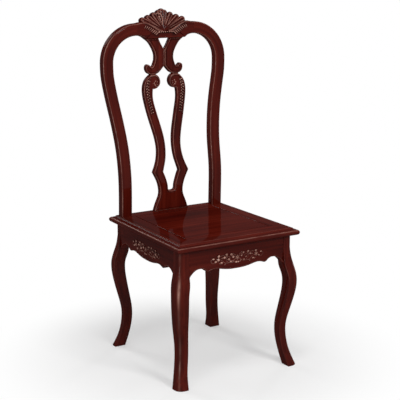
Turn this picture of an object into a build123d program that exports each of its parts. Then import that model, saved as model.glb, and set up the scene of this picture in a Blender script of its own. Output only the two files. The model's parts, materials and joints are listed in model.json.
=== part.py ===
from build123d import *
from math import atan2, cos, degrees, hypot, radians, sin, sqrt
import os

os.makedirs("parts", exist_ok=True)

# A side chair in polished hardwood. Millimetres, +Z up, the front towards -Y.
# The origin is on the floor, under the middle of the outer box, which the front feet and the shell bound.

# Seat frame
seat_height = 450.0
seat_front_width = 438.0
seat_back_width = 420.0
seat_depth = 461.0
rail_thickness = 23.0
front_rail_width = 70.0
side_rail_width = 65.0
back_rail_width = 65.0
nose_radius = 8.7
arris_inset = 16.5
arris_drop = 2.0
arris_radius = 1.5
mitre_key_length = 30.0
mitre_key_width = 18.0
mitre_key_thickness = 6.0
mitre_key_place_share = 0.27

# Seat panel and its battens
panel_thickness = 12.0
tongue_thickness = 6.0
tongue_length = 8.0
panel_reveal = 2.2
batten_width = 42.0
batten_thickness = 14.0
batten_tenon_length = 12.0
batten_tenon_thickness = 7.0
batten_tenon_drop = 0.3
front_batten_place_share = 0.28
rear_batten_place_share = 0.72

# Legs, set in from the seat's edges by the overhangs
front_overhang = 18.0
rear_overhang = 2.0
front_side_overhang = 13.9
rear_side_overhang = 21.1
post_size = 34.6
side_flare = 17.0
fore_flare = 19.8
leg_corner_share = 0.62

# Aprons
apron_thickness = 20.0
apron_depth = 78.0
apron_setback = 2.5
apron_tenon_length = 15.0
apron_tenon_thickness = 8.0
apron_tenon_height = 44.0
apron_tenon_drop = 7.0

# Corner blocks and the screws that hold the seat
block_leg = 62.0
block_height = 30.0
screw_diameter = 4.5
screw_head_diameter = 9.0
screw_head_height = 3.0
screw_bite = 14.0
screw_place_shares = (0.42, 0.2)

# Back frame
stile_width = 38.4
stile_depth = 27.4
stile_front_radius = 7.6
stile_back_radius = 4.0
stile_height = 490.0
stile_waist_spread = 340.6
stile_shoulder_spread = 416.0
stile_setback = 43.0
stile_rake = 42.0
stile_tenon_width = 20.0
stile_tenon_depth = 14.0
shoulder_radius = 102.5

# Crest rail and shell
bridge_drop = 49.2
bridge_reach = 72.5
shell_half_width = 83.5
shell_height = 72.7
shell_tip_radius = 12.2
shell_front_thickness = 6.5
shell_back_thickness = 6.0
shell_lean_angle = radians(19.5)
shell_dowel_setback = 4.0
shell_dowel_sink = 4.0

# Splat and scrolls
splat_thickness = 17.0
splat_half_width = 78.8
splat_height = 446.0
splat_tenon_width = 90.0
splat_tenon_thickness = 9.0
splat_tenon_length = 15.0
neck_gap = 32.0
neck_width = 19.0
scroll_reach = 68.8
scroll_top_gap = 21.0

# Dowels
dowel_diameter = 9.0
dowel_length = 44.0
small_dowel_diameter = 7.0
small_dowel_length = 26.0
dowel_pitch = 17.0

# Clearances
glue_gap = 0.15
float_gap = 0.8
overrun = 4.0


# Places worked out from the sizes above
leg_height = seat_height - rail_thickness
leg_spread_depth = seat_depth - front_overhang - rear_overhang
front_leg_spread = seat_front_width - 2 * front_side_overhang
rear_leg_spread = seat_back_width - 2 * rear_side_overhang
shell_top_reach = shell_height - shell_tip_radius + sqrt(shell_tip_radius**2 - shell_back_thickness**2)
shell_reach = sin(shell_lean_angle) * shell_top_reach + cos(shell_lean_angle) * shell_back_thickness
shell_overhang = rear_overhang - stile_setback + stile_rake + shell_reach - fore_flare
overall_depth = leg_spread_depth + 2 * fore_flare + shell_overhang
front_post_y = fore_flare - overall_depth / 2
rear_post_y = front_post_y + leg_spread_depth
seat_front = front_post_y - front_overhang
seat_back = seat_front + seat_depth
batten_place_shares = {"front": front_batten_place_share, "rear": rear_batten_place_share}
seat_taper = (seat_front_width - seat_back_width) / 2 / seat_depth
taper_cosine = 1 / hypot(1, seat_taper)
stile_base_y = seat_back - stile_setback
shoulder_z = seat_height + stile_height
arch_x = stile_shoulder_spread / 2 - shoulder_radius
arch_top = shoulder_z + shoulder_radius + stile_width / 2
arch_bottom = arch_top - stile_width
bridge_z = arch_top - bridge_drop
neck_z = seat_height + splat_height

sides = {"left": -1, "right": 1}


def seat_half_width(y):
    return seat_front_width / 2 - seat_taper * (y - seat_front)


def rail_inner_x(y):
    return seat_half_width(y) - side_rail_width / taper_cosine


def save(part, name):
    part.label = name
    export_step(part, f"parts/{name}.step")


def scaled(shares, width, height, base=0.0):
    return [(x * width, base + z * height) for x, z in shares]


# Legs: a square post that swells to a knee, thins to an ankle and turns out to a foot.
# Each row: height, sideways flare, fore-and-aft flare, and size.
leg_shares = [
    (0.0, 0.95, 1.0, 1.09),
    (0.105, 0.19, 0.01, 0.93),
    (0.21, -0.25, -0.4, 0.91),
    (0.316, -0.25, -0.44, 0.94),
    (0.42, 0.21, 0.0, 1.03),
    (0.527, 0.7, 0.6, 1.125),
    (0.632, 1.0, 0.98, 1.18),
    (0.7, 0.95, 0.92, 1.21),
    (0.765, 0.64, 0.6, 1.24),
    (0.83, 0.24, 0.21, 1.09),
    (0.9, 0.0, 0.0, 1.0),
]

post_outer_x = {"front": front_leg_spread / 2, "rear": rear_leg_spread / 2}
post_outer_y = {"front": front_post_y, "rear": rear_post_y}
ends = {"front": -1, "rear": 1}


def post_inner_x(end):
    return post_outer_x[end] - post_size


def post_inner_y(end):
    return post_outer_y[end] - ends[end] * post_size


apron_centre_y = {
    "front": front_post_y + apron_setback + apron_thickness / 2,
    "rear": rear_post_y - apron_setback - apron_thickness / 2,
}
apron_tenon_z = leg_height - apron_tenon_drop - apron_tenon_height / 2


def side_apron_x(y):
    """Middle of a side apron's thickness at a place along the seat."""
    run = (y - front_post_y) / leg_spread_depth
    outer = post_outer_x["front"] + run * (post_outer_x["rear"] - post_outer_x["front"])
    return outer - apron_setback - apron_thickness / 2


mortise_depth = apron_tenon_length + glue_gap
mortise_thickness = apron_tenon_thickness + 2 * glue_gap
mortise_height = apron_tenon_height + 2 * glue_gap

for side_name, side in sides.items():
    for end_name, end in ends.items():
        inner_x = post_inner_x(end_name)
        inner_y = post_inner_y(end_name)
        with BuildPart() as leg:
            for height, sideways, fore, size in leg_shares:
                width = post_size * size
                corner_x = post_outer_x[end_name] + side_flare * sideways
                corner_y = post_outer_y[end_name] + end * fore_flare * fore
                with BuildSketch(Plane.XY.offset(leg_height * height)) as section:
                    with Locations((side * (corner_x - width / 2), corner_y - end * width / 2)):
                        Rectangle(width, width)
                    outer = section.vertices().sort_by_distance((side * seat_depth, end * seat_depth))[0]
                    fillet(outer, radius=width * leg_corner_share)
            loft()
            post_top = leg.faces().sort_by(Axis.Z)[-1]
            extrude(post_top, amount=leg_height * (1 - leg_shares[-1][0]))
            with Locations((side * (inner_x + mortise_depth / 2), apron_centre_y[end_name], apron_tenon_z)):
                Box(mortise_depth, mortise_thickness, mortise_height, mode=Mode.SUBTRACT)
            with Locations((side * side_apron_x(inner_y), inner_y + end * mortise_depth / 2, apron_tenon_z)):
                Box(mortise_thickness, mortise_depth, mortise_height, mode=Mode.SUBTRACT)
        save(leg.part, f"{end_name}_{side_name}_leg")


# Aprons: the lower edge of half an apron, from its middle to the leg.
# Each row: distance from the middle, and depth below the seat.
apron_belly_shares = [(0.0, 1.0), (0.15, 0.99), (0.3, 0.94), (0.42, 0.89), (0.5, 0.895), (0.56, 0.93)]
apron_drop_shares = [(0.56, 0.93), (0.6, 0.95), (0.635, 0.925)]
apron_arch_shares = [
    (0.635, 0.925),
    (0.67, 0.86),
    (0.715, 0.805),
    (0.775, 0.785),
    (0.84, 0.81),
    (0.9, 0.885),
    (0.955, 1.0),
    (1.0, 1.13),
]


def apron_half(half_span):
    """Right half of an apron's outline, seen square on."""
    belly = [(x * half_span, leg_height - z * apron_depth) for x, z in apron_belly_shares]
    drop = [(x * half_span, leg_height - z * apron_depth) for x, z in apron_drop_shares]
    arch = [(x * half_span, leg_height - z * apron_depth) for x, z in apron_arch_shares]
    with BuildLine() as edge:
        Spline(*belly, tangents=[(1, 0), (1, -1)], tangent_scalars=[1, 0.6])
        ThreePointArc(*drop)
        Spline(*arch)
        Polyline(arch[-1], (half_span, leg_height), (0, leg_height), belly[0])
    return edge.wire()


cross_span = {end: post_inner_x(end) for end in ends}
for end_name, name in (("front", "front_apron"), ("rear", "back_apron")):
    span = cross_span[end_name]
    with BuildPart() as apron:
        with BuildSketch(Plane.XZ.offset(-apron_centre_y[end_name])):
            make_face(apron_half(span).edges())
            mirror(about=Plane.YZ)
        extrude(amount=apron_thickness / 2, both=True)
        with Locations(
            (span + apron_tenon_length / 2, apron_centre_y[end_name], apron_tenon_z),
            (-span - apron_tenon_length / 2, apron_centre_y[end_name], apron_tenon_z),
        ):
            Box(apron_tenon_length, apron_tenon_thickness, apron_tenon_height)
    save(apron.part, name)

side_span_front = post_inner_y("front")
side_span_rear = post_inner_y("rear")
side_span = (side_span_rear - side_span_front) / 2
side_middle = (side_span_rear + side_span_front) / 2
for side_name, side in sides.items():
    with BuildPart() as apron:
        with BuildSketch(Plane(origin=(0, side_middle, 0), x_dir=(0, 1, 0), z_dir=(1, 0, 0))):
            make_face(apron_half(side_span).edges())
            mirror(about=Plane.YZ)
        extrude(amount=max(post_outer_x.values()), both=True)
        with BuildSketch():
            slab = []
            for y, reach in ((side_span_front, 1), (side_span_rear, 1), (side_span_rear, -1), (side_span_front, -1)):
                slab.append((side * (side_apron_x(y) + reach * apron_thickness / 2), y))
            with BuildLine():
                Polyline(*slab, close=True)
            make_face()
        extrude(amount=leg_height, mode=Mode.INTERSECT)
        for y, end in ((side_span_front, -1), (side_span_rear, 1)):
            with Locations((side * side_apron_x(y), y + end * apron_tenon_length / 2, apron_tenon_z)):
                Box(apron_tenon_thickness, apron_tenon_length, apron_tenon_height)
    save(apron.part, f"{side_name}_apron")


# Corner blocks: glued into the corners of the apron frame, cut away round the post.
screw_centres = []
for side_name, side in sides.items():
    for end_name, end in ends.items():
        face_y = apron_centre_y[end_name] - end * apron_thickness / 2
        face_x = side_apron_x(post_inner_y(end_name)) - apron_thickness / 2
        toe_y = face_y - end * block_leg
        toe_x = min(side_apron_x(toe_y), side_apron_x(face_y)) - apron_thickness / 2
        near_x = min(face_x, toe_x)
        screw_x = side * (near_x - block_leg * screw_place_shares[0])
        centre = (screw_x, face_y - end * block_leg * screw_place_shares[1])
        screw_centres.append(centre)
        post_corner = (post_inner_x(end_name) - glue_gap, post_inner_y(end_name) - end * glue_gap)
        with BuildPart() as block:
            with BuildSketch(Plane.XY.offset(leg_height - block_height)) as plan:
                with BuildLine():
                    Polyline(
                        (side * near_x, face_y),
                        (side * near_x, toe_y),
                        (side * (near_x - block_leg), face_y),
                        close=True,
                    )
                make_face()
                with BuildLine():
                    Polyline(
                        (side * post_corner[0], post_corner[1]),
                        (side * (near_x + overrun), post_corner[1]),
                        (side * (near_x + overrun), face_y + end * overrun),
                        (side * post_corner[0], face_y + end * overrun),
                        close=True,
                    )
                make_face(mode=Mode.SUBTRACT)
            extrude(amount=block_height)
            with Locations((*centre, leg_height - block_height)):
                Cylinder(
                    screw_head_diameter / 2 + glue_gap,
                    screw_head_height,
                    align=(Align.CENTER, Align.CENTER, Align.MIN),
                    mode=Mode.SUBTRACT,
                )
                Cylinder(
                    screw_diameter / 2 + glue_gap,
                    block_height,
                    align=(Align.CENTER, Align.CENTER, Align.MIN),
                    mode=Mode.SUBTRACT,
                )
        save(block.part, f"{end_name}_{side_name}_block")

screw_length = block_height + screw_bite
with BuildPart() as screws:
    with Locations(*[(*centre, leg_height - block_height) for centre in screw_centres]):
        Cylinder(screw_diameter / 2, screw_length, align=(Align.CENTER, Align.CENTER, Align.MIN))
        Cylinder(screw_head_diameter / 2, screw_head_height, align=(Align.CENTER, Align.CENTER, Align.MIN))
save(screws.part, "seat_screws")


# Seat frame: four moulded rails, mitred at the corners.
front_inner_y = seat_front + front_rail_width
back_inner_y = seat_back - back_rail_width
outer_corner = {}
inner_corner = {}
for side_name, side in sides.items():
    outer_corner["front", side_name] = (side * seat_front_width / 2, seat_front)
    outer_corner["back", side_name] = (side * seat_back_width / 2, seat_back)
    inner_corner["front", side_name] = (side * rail_inner_x(front_inner_y), front_inner_y)
    inner_corner["back", side_name] = (side * rail_inner_x(back_inner_y), back_inner_y)

tongue_bottom = panel_thickness
tongue_top = panel_thickness - tongue_thickness


def rail_profile(width):
    """Cross-section of a rail: nose at the origin, inwards to -x, seat top at y = 0."""
    groove_top = -tongue_top + glue_gap
    groove_bottom = -tongue_bottom - glue_gap
    with BuildLine() as line:
        Line((-width, 0), (-arris_inset - arris_radius, 0))
        RadiusArc((-arris_inset - arris_radius, 0), (-arris_inset, -arris_radius), arris_radius)
        Line((-arris_inset, -arris_radius), (-arris_inset, -arris_drop))
        cove_end = (-nose_radius, -rail_thickness + 2 * nose_radius)
        RadiusArc((-arris_inset, -arris_drop), cove_end, arris_inset - nose_radius / 2, short_sagitta=True)
        ThreePointArc(cove_end, (0, -rail_thickness + nose_radius), (-nose_radius, -rail_thickness))
        Polyline(
            (-nose_radius, -rail_thickness),
            (-width, -rail_thickness),
            (-width, groove_bottom),
            (-width + tongue_length + float_gap, groove_bottom),
            (-width + tongue_length + float_gap, groove_top),
            (-width, groove_top),
            (-width, 0),
        )
    return line.wire()


def mitre_key_place(end, side_name):
    """Middle of a corner's loose tenon and the angle of its length."""
    outer = outer_corner[end, side_name]
    inner = inner_corner[end, side_name]
    run_x = inner[0] - outer[0]
    run_y = inner[1] - outer[1]
    x = outer[0] + run_x * mitre_key_place_share
    y = outer[1] + run_y * mitre_key_place_share
    return x, y, degrees(atan2(run_x, -run_y))


key_z = seat_height - rail_thickness / 2
stile_tenon_spots = [(side * stile_waist_spread / 2, stile_base_y) for side in sides.values()]


def cut_rail_sockets(screw_depth):
    """Sockets for the corner keys, the stiles' tenons, the splat and the seat screws."""
    for end in ("front", "back"):
        for side_name in sides:
            x, y, angle = mitre_key_place(end, side_name)
            with Locations(Location((x, y, key_z), (0, 0, angle))):
                Box(
                    mitre_key_length + 2 * glue_gap,
                    mitre_key_width + 2 * glue_gap,
                    mitre_key_thickness + 2 * glue_gap,
                    mode=Mode.SUBTRACT,
                )
    with Locations(*[(x, y, seat_height) for x, y in stile_tenon_spots]):
        Box(
            stile_tenon_width + 2 * glue_gap,
            stile_tenon_depth + 2 * glue_gap,
            rail_thickness,
            align=(Align.CENTER, Align.CENTER, Align.MAX),
            mode=Mode.SUBTRACT,
        )
    with Locations((0, splat_foot_y, seat_height)):
        Box(
            splat_tenon_width + 2 * glue_gap,
            splat_tenon_thickness + 2 * glue_gap,
            splat_tenon_length + glue_gap,
            align=(Align.CENTER, Align.CENTER, Align.MAX),
            mode=Mode.SUBTRACT,
        )
    with Locations(*[(*centre, leg_height) for centre in screw_centres]):
        Cylinder(
            screw_diameter / 2,
            screw_depth,
            align=(Align.CENTER, Align.CENTER, Align.MIN),
            mode=Mode.SUBTRACT,
        )
    for end in batten_place_shares:
        with Locations((0, batten_y[end], batten_tenon_z)):
            Box(
                batten_reach[end] * 2 + 2 * glue_gap,
                batten_width + 2 * glue_gap,
                batten_tenon_thickness + 2 * glue_gap,
                mode=Mode.SUBTRACT,
            )


# The stiles' lean as a share of the rake, and their spread as a share of its growth,
# against height as a share of the stile's height.
stile_lean_shares = [
    (0.0, 0.05, 0.0),
    (0.143, 0.0, 0.0),
    (0.265, 0.024, 0.01),
    (0.347, 0.143, 0.015),
    (0.449, 0.357, 0.05),
    (0.551, 0.571, 0.175),
    (0.653, 0.762, 0.363),
    (0.755, 0.905, 0.6),
    (0.857, 0.976, 0.845),
    (0.929, 0.995, 0.975),
    (1.0, 1.0, 1.0),
]


def stile_centre(height, lean, spread):
    """Middle of the right stile at a share of its height."""
    x = stile_waist_spread / 2 + spread * (stile_shoulder_spread - stile_waist_spread) / 2
    return x, stile_base_y + lean * stile_rake, seat_height + height * stile_height


splat_back_offset = stile_depth / 2
splat_foot_y = stile_base_y + stile_lean_shares[0][1] * stile_rake + splat_back_offset - splat_thickness / 2
batten_y = {
    end: front_inner_y + share * (back_inner_y - front_inner_y)
    for end, share in batten_place_shares.items()
}
batten_shoulder = {end: rail_inner_x(batten_y[end] + batten_width / 2) for end in batten_y}
batten_reach = {end: batten_shoulder[end] + batten_tenon_length for end in batten_y}
batten_top = seat_height - panel_thickness
batten_tenon_z = batten_top - batten_tenon_thickness / 2 - batten_tenon_drop

rail_plans = {
    "front_rail": (("front", "left"), ("front", "right"), front_rail_width, (0, -1)),
    "back_rail": (("back", "right"), ("back", "left"), back_rail_width, (0, 1)),
    "left_rail": (("back", "left"), ("front", "left"), side_rail_width, (-taper_cosine, seat_taper * taper_cosine)),
    "right_rail": (("front", "right"), ("back", "right"), side_rail_width, (taper_cosine, seat_taper * taper_cosine)),
}
for name, (start, finish, width, outward) in rail_plans.items():
    a = outer_corner[start]
    b = outer_corner[finish]
    middle = ((a[0] + b[0]) / 2, (a[1] + b[1]) / 2, seat_height)
    outward_3d = Vector(outward[0], outward[1], 0)
    along = outward_3d.cross(Vector(0, 0, 1))
    with BuildPart() as rail:
        with BuildSketch(Plane(origin=middle, x_dir=outward_3d, z_dir=along)):
            make_face(rail_profile(width).edges())
        extrude(amount=hypot(b[0] - a[0], b[1] - a[1]) / 2, both=True)
        with BuildSketch(Plane.XY.offset(leg_height)):
            with BuildLine():
                Polyline(a, b, inner_corner[finish], inner_corner[start], close=True)
            make_face()
        extrude(amount=rail_thickness, mode=Mode.INTERSECT)
        cut_rail_sockets(screw_bite)
    save(rail.part, name)

with BuildPart() as keys:
    for end in ("front", "back"):
        for side_name in sides:
            x, y, angle = mitre_key_place(end, side_name)
            with Locations(Location((x, y, key_z), (0, 0, angle))):
                Box(mitre_key_length, mitre_key_width, mitre_key_thickness)
save(keys.part, "mitre_keys")


# Seat panel: flush with the frame, a fine dark reveal round it, its tongue in the rails' grooves.
def panel_corners(grow):
    """Plan of the panel, grown past the frame's opening by a length."""
    front = front_inner_y - grow
    back = back_inner_y + grow
    front_x = rail_inner_x(front) + grow / taper_cosine
    back_x = rail_inner_x(back) + grow / taper_cosine
    return [(-front_x, front), (front_x, front), (back_x, back), (-back_x, back)]


with BuildPart() as panel:
    with BuildSketch(Plane.XY.offset(seat_height - panel_thickness)):
        with BuildLine():
            Polyline(*panel_corners(tongue_length), close=True)
        make_face()
    extrude(amount=tongue_thickness)
    with BuildSketch(Plane.XY.offset(seat_height - panel_thickness)):
        with BuildLine():
            Polyline(*panel_corners(-panel_reveal), close=True)
        make_face()
    extrude(amount=panel_thickness)
save(panel.part, "seat_panel")

for end in batten_y:
    with BuildPart() as batten:
        with Locations((0, batten_y[end], batten_top)):
            Box(
                batten_shoulder[end] * 2,
                batten_width,
                batten_thickness,
                align=(Align.CENTER, Align.CENTER, Align.MAX),
            )
        with Locations((0, batten_y[end], batten_tenon_z)):
            Box(batten_reach[end] * 2, batten_width, batten_tenon_thickness)
    save(batten.part, f"{end}_batten")


# Stiles: lofted through level sections, upright at the seat, leaning back in an S, upright again.
dowel_hole = dowel_diameter / 2 + glue_gap
stile_top_y = stile_base_y + stile_rake
stile_dowel_xs = [stile_shoulder_spread / 2 - dowel_pitch / 2, stile_shoulder_spread / 2 + dowel_pitch / 2]


def stile_section(x, y):
    """Level section of a stile: broad round corners at the front, small ones at the back."""
    half_width = stile_width / 2
    front = y - stile_depth / 2
    back = y + stile_depth / 2
    with BuildLine() as line:
        FilletPolyline(
            (x - half_width, back),
            (x - half_width, front),
            (x + half_width, front),
            (x + half_width, back),
            close=True,
            radius=[stile_back_radius, stile_front_radius, stile_front_radius, stile_back_radius],
        )
    return make_face(line.edges(), mode=Mode.PRIVATE)


for side_name, side in sides.items():
    with BuildPart() as stile:
        for height, lean, spread in stile_lean_shares:
            x, y, z = stile_centre(height, lean, spread)
            with BuildSketch(Plane.XY.offset(z)):
                add(stile_section(side * x, y))
        loft()
        with Locations((side * stile_waist_spread / 2, stile_base_y, seat_height)):
            Box(
                stile_tenon_width,
                stile_tenon_depth,
                rail_thickness,
                align=(Align.CENTER, Align.CENTER, Align.MAX),
            )
        with Locations(*[(side * x, stile_top_y, shoulder_z) for x in stile_dowel_xs]):
            Cylinder(
                dowel_hole,
                dowel_length / 2 + glue_gap,
                align=(Align.CENTER, Align.CENTER, Align.MAX),
                mode=Mode.SUBTRACT,
            )
    save(stile.part, f"{side_name}_stile")


# Shoulders: the stiles' section carried round a quarter circle.
shoulder_dowel_zs = [arch_top - stile_width / 2 - dowel_pitch / 2, arch_top - stile_width / 2 + dowel_pitch / 2]
for side_name, side in sides.items():
    with BuildPart() as shoulder:
        with BuildSketch(Plane.XY.offset(shoulder_z)):
            add(stile_section(side * stile_shoulder_spread / 2, stile_top_y))
        centre = Axis((side * arch_x, stile_top_y, shoulder_z), (0, -side, 0))
        revolve(axis=centre, revolution_arc=90)
        with Locations(*[(side * x, stile_top_y, shoulder_z) for x in stile_dowel_xs]):
            Cylinder(
                dowel_hole,
                dowel_length / 2 + glue_gap,
                align=(Align.CENTER, Align.CENTER, Align.MIN),
                mode=Mode.SUBTRACT,
            )
        with Locations(*[(side * arch_x, stile_top_y, z) for z in shoulder_dowel_zs]):
            Cylinder(dowel_hole, dowel_length + 2 * glue_gap, rotation=(0, 90, 0), mode=Mode.SUBTRACT)
    save(shoulder.part, f"{side_name}_shoulder")


# Crest rail: two horns falling to a saddle that carries the shell, over a flat bridge.
# Places across are shares of the shoulders' centre, heights are shares of the rail's rise over the bridge.
crest_rise = arch_top - bridge_z
horn_shares = [
    (1.0, 1.0),
    (0.87, 1.045),
    (0.75, 1.05),
    (0.65, 1.015),
    (0.54, 0.925),
    (0.41, 0.765),
    (0.28, 0.605),
    (0.17, 0.505),
    (0.08, 0.478),
    (0.0, 0.477),
]
haunch_shares = [(0.725, 0.06), (0.81, 0.155), (0.89, 0.2)]


def saddle_line():
    """Top of the right half of the crest rail, from the shoulder to the middle."""
    points = scaled(horn_shares, arch_x, crest_rise, bridge_z)
    return Spline(*points, tangents=[(-1, 0), (-1, 0)])


def crest_half():
    haunch = scaled(haunch_shares, arch_x, crest_rise, bridge_z)
    with BuildLine() as line:
        top = saddle_line()
        Line(top @ 1, (0, bridge_z))
        Line((0, bridge_z), (bridge_reach, bridge_z))
        Spline((bridge_reach, bridge_z), *haunch, (arch_x, arch_bottom), tangents=[(1, 0.7), (1, 0)])
        Line((arch_x, arch_bottom), top @ 0)
    return line.wire()


# The splat and the scrolls are as thick as each other, and their backs are flush with the stiles'.
def raked_edge(setback):
    """The back's S in side view, set forward of the back plane by a length."""
    points = []
    for height, lean, spread in stile_lean_shares:
        x, y, z = stile_centre(height, lean, spread)
        points.append((y + stile_depth / 2 - setback, z))
    return points


def raked_band():
    rear = raked_edge(0)
    fore = raked_edge(splat_thickness)
    with BuildLine() as line:
        Spline(*rear)
        Polyline(rear[-1], (rear[-1][0], arch_top), (fore[-1][0], arch_top), fore[-1])
        Spline(*fore)
        Line(fore[0], rear[0])
    return line.edges()


band_y = stile_top_y + stile_depth / 2 - splat_thickness / 2
neck_x = neck_gap + neck_width / 2
scroll_top_x = (scroll_top_gap + bridge_reach) / 2
shell_base_z = bridge_z + horn_shares[-1][1] * crest_rise
shell_dowel_x = arch_x * horn_shares[6][0]
shell_dowel_y = stile_top_y + shell_dowel_setback
shell_dowel_z = bridge_z + horn_shares[6][1] * crest_rise - shell_dowel_sink
small_dowel_places = {
    "splat": [(side * neck_x, band_y, neck_z) for side in sides.values()],
    "scroll": [(side * scroll_top_x, band_y, bridge_z) for side in sides.values()],
    "shell": [(side * shell_dowel_x, shell_dowel_y, shell_dowel_z) for side in sides.values()],
}


def drill_small_dowels(*joints):
    places = [place for joint in joints for place in small_dowel_places[joint]]
    with Locations(*places):
        Cylinder(small_dowel_diameter / 2 + glue_gap, small_dowel_length + 2 * glue_gap, mode=Mode.SUBTRACT)


with BuildPart() as crest:
    with BuildSketch(Plane.XZ.offset(-stile_top_y)):
        make_face(crest_half().edges())
        mirror(about=Plane.YZ)
    extrude(amount=stile_depth / 2, both=True)
    with Locations(*[(side * arch_x, stile_top_y, z) for z in shoulder_dowel_zs for side in sides.values()]):
        Cylinder(dowel_hole, dowel_length + 2 * glue_gap, rotation=(0, 90, 0), mode=Mode.SUBTRACT)
    drill_small_dowels("scroll", "shell")
save(crest.part, "crest_rail")


# Shell: ribs fanned out from the middle of the saddle over a web, flat behind and leaning back.
# Each row: place of a rib's round end across and up as shares of the shell, and its radius as one of the tip's.
rib_shares = [
    (0.0, 0.832, 1.0),
    (0.126, 0.79, 0.905),
    (0.365, 0.681, 0.93),
    (0.623, 0.568, 0.94),
    (0.874, 0.476, 0.905),
]
rib_root_share = 0.36
shell_front = (0, -cos(shell_lean_angle), sin(shell_lean_angle))
shell_plane = Plane(origin=(0, stile_top_y, shell_base_z), x_dir=(1, 0, 0), z_dir=shell_front)

with BuildPart() as shell:
    tips = [(x * shell_half_width, z * shell_height) for x, z, size in rib_shares]
    shell_back = shell_plane.offset(-shell_back_thickness)
    with BuildSketch(shell_back):
        with BuildLine():
            Polyline((0, 0), tips[-1], *tips[-2::-1], close=True)
        make_face()
        mirror(about=Plane.YZ)
    extrude(amount=shell_front_thickness + shell_back_thickness)
    for across, up, size in rib_shares:
        tip_x = across * shell_half_width
        tip_z = up * shell_height
        length = hypot(tip_x, tip_z)
        root = rib_root_share * shell_tip_radius
        tip = size * shell_tip_radius
        for side in {0: [1]}.get(across, [1, -1]):
            rib_across = shell_plane.x_dir * (tip_z / length) - shell_plane.y_dir * (side * tip_x / length)
            rib_plane = Plane(origin=shell_plane.origin, x_dir=rib_across, z_dir=shell_plane.z_dir)
            with BuildSketch(rib_plane):
                with BuildLine():
                    Polyline((0, length + tip), (0, root), (root, root), (tip, length))
                    RadiusArc((tip, length), (0, length + tip), -tip)
                make_face()
            revolve(axis=Axis(rib_plane.origin, rib_plane.y_dir))
    split(bisect_by=shell_back, keep=Keep.TOP)
    with BuildSketch(Plane.XZ.offset(-stile_top_y)):
        with BuildLine() as below:
            saddle = saddle_line()
            Polyline(saddle @ 1, (-overrun, shell_base_z), (-overrun, bridge_z), (arch_x, bridge_z), saddle @ 0)
        make_face()
        mirror(about=Plane.YZ)
    extrude(amount=stile_depth, both=True, mode=Mode.SUBTRACT)
    drill_small_dowels("shell")
save(shell.part, "shell_crest")


# Splat: a pierced lyre of two bars, joined at the foot, each ending in a volute.
# Places across are shares of the half width, heights are shares of the splat's height.
splat_foot_shares = [
    (0.81, 0.0),
    (0.75, 0.036),
    (0.65, 0.08),
    (0.575, 0.113),
    (0.55, 0.138),
    (0.575, 0.183),
    (0.64, 0.222),
    (0.73, 0.256),
    (0.838, 0.293),
]
splat_bar_shares = [
    (0.838, 0.293),
    (0.735, 0.331),
    (0.635, 0.378),
    (0.575, 0.43),
    (0.56, 0.468),
    (0.583, 0.52),
    (0.66, 0.587),
    (0.752, 0.65),
    (0.85, 0.72),
    (0.93, 0.785),
    (0.982, 0.838),
    (1.0, 0.88),
    (0.975, 0.923),
    (0.89, 0.96),
]
lyre_foot_shares = [(0.14, 0.156), (0.165, 0.178), (0.22, 0.222), (0.288, 0.258), (0.374, 0.293)]
lyre_bar_shares = [
    (0.374, 0.293),
    (0.312, 0.331),
    (0.235, 0.378),
    (0.19, 0.43),
    (0.178, 0.48),
    (0.2, 0.535),
    (0.268, 0.602),
    (0.365, 0.67),
    (0.465, 0.74),
    (0.54, 0.795),
    (0.573, 0.85),
    (0.552, 0.894),
]
volute_shares = [(0.552, 0.894), (0.2, 0.946)]
notch_share = 0.148


def splat_half():
    outer_foot = scaled(splat_foot_shares, splat_half_width, splat_height, seat_height)
    outer_bar = scaled(splat_bar_shares, splat_half_width, splat_height, seat_height)
    inner_foot = scaled(lyre_foot_shares, splat_half_width, splat_height, seat_height)
    inner_bar = scaled(lyre_bar_shares, splat_half_width, splat_height, seat_height)
    volute = scaled(volute_shares, splat_half_width, splat_height, seat_height)
    notch_z = seat_height + notch_share * splat_height
    with BuildLine() as line:
        Line((0, seat_height), outer_foot[0])
        Spline(*outer_foot)
        Spline(*outer_bar, (neck_gap + neck_width, neck_z))
        Line((neck_gap + neck_width, neck_z), (neck_gap, neck_z))
        ThreePointArc((neck_gap, neck_z), volute[1], volute[0])
        Spline(*reversed(inner_bar))
        Spline(*reversed(inner_foot), (0, notch_z), tangents=[(-1, -0.9), (-1, 0)])
        Line((0, notch_z), (0, seat_height))
    return line.edges()


with BuildPart() as splat:
    with BuildSketch(Plane.XZ):
        make_face(splat_half())
        mirror(about=Plane.YZ)
    extrude(amount=overall_depth, both=True)
    with BuildSketch(Plane.YZ):
        make_face(raked_band())
    extrude(amount=seat_front_width / 2, both=True, mode=Mode.INTERSECT)
    with Locations((0, splat_foot_y, seat_height)):
        Box(
            splat_tenon_width,
            splat_tenon_thickness,
            splat_tenon_length,
            align=(Align.CENTER, Align.CENTER, Align.MAX),
        )
    drill_small_dowels("splat")
save(splat.part, "splat")


# Scrolls: a pair of C-scrolls back to back, hooked at the foot, flared to the bridge at the top.
# Places across are shares of the scroll's reach, heights are shares of its height.
scroll_height = bridge_z - neck_z
hook_shares = [
    (0.84, 0.024),
    (0.935, 0.072),
    (0.99, 0.14),
    (0.995, 0.21),
    (0.95, 0.265),
    (0.87, 0.283),
    (0.79, 0.262),
    (0.735, 0.222),
]
hollow_shares = [
    (0.735, 0.222),
    (0.68, 0.208),
    (0.62, 0.232),
    (0.56, 0.3),
    (0.51, 0.39),
    (0.496, 0.475),
    (0.515, 0.575),
    (0.58, 0.675),
    (0.685, 0.787),
    (0.815, 0.89),
]
inner_top_shares = [(0.22, 0.89), (0.125, 0.787)]
inner_foot_shares = [(0.095, 0.17), (0.2, 0.1), (0.32, 0.04)]
touch_shares = (0.675, 0.24)


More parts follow.
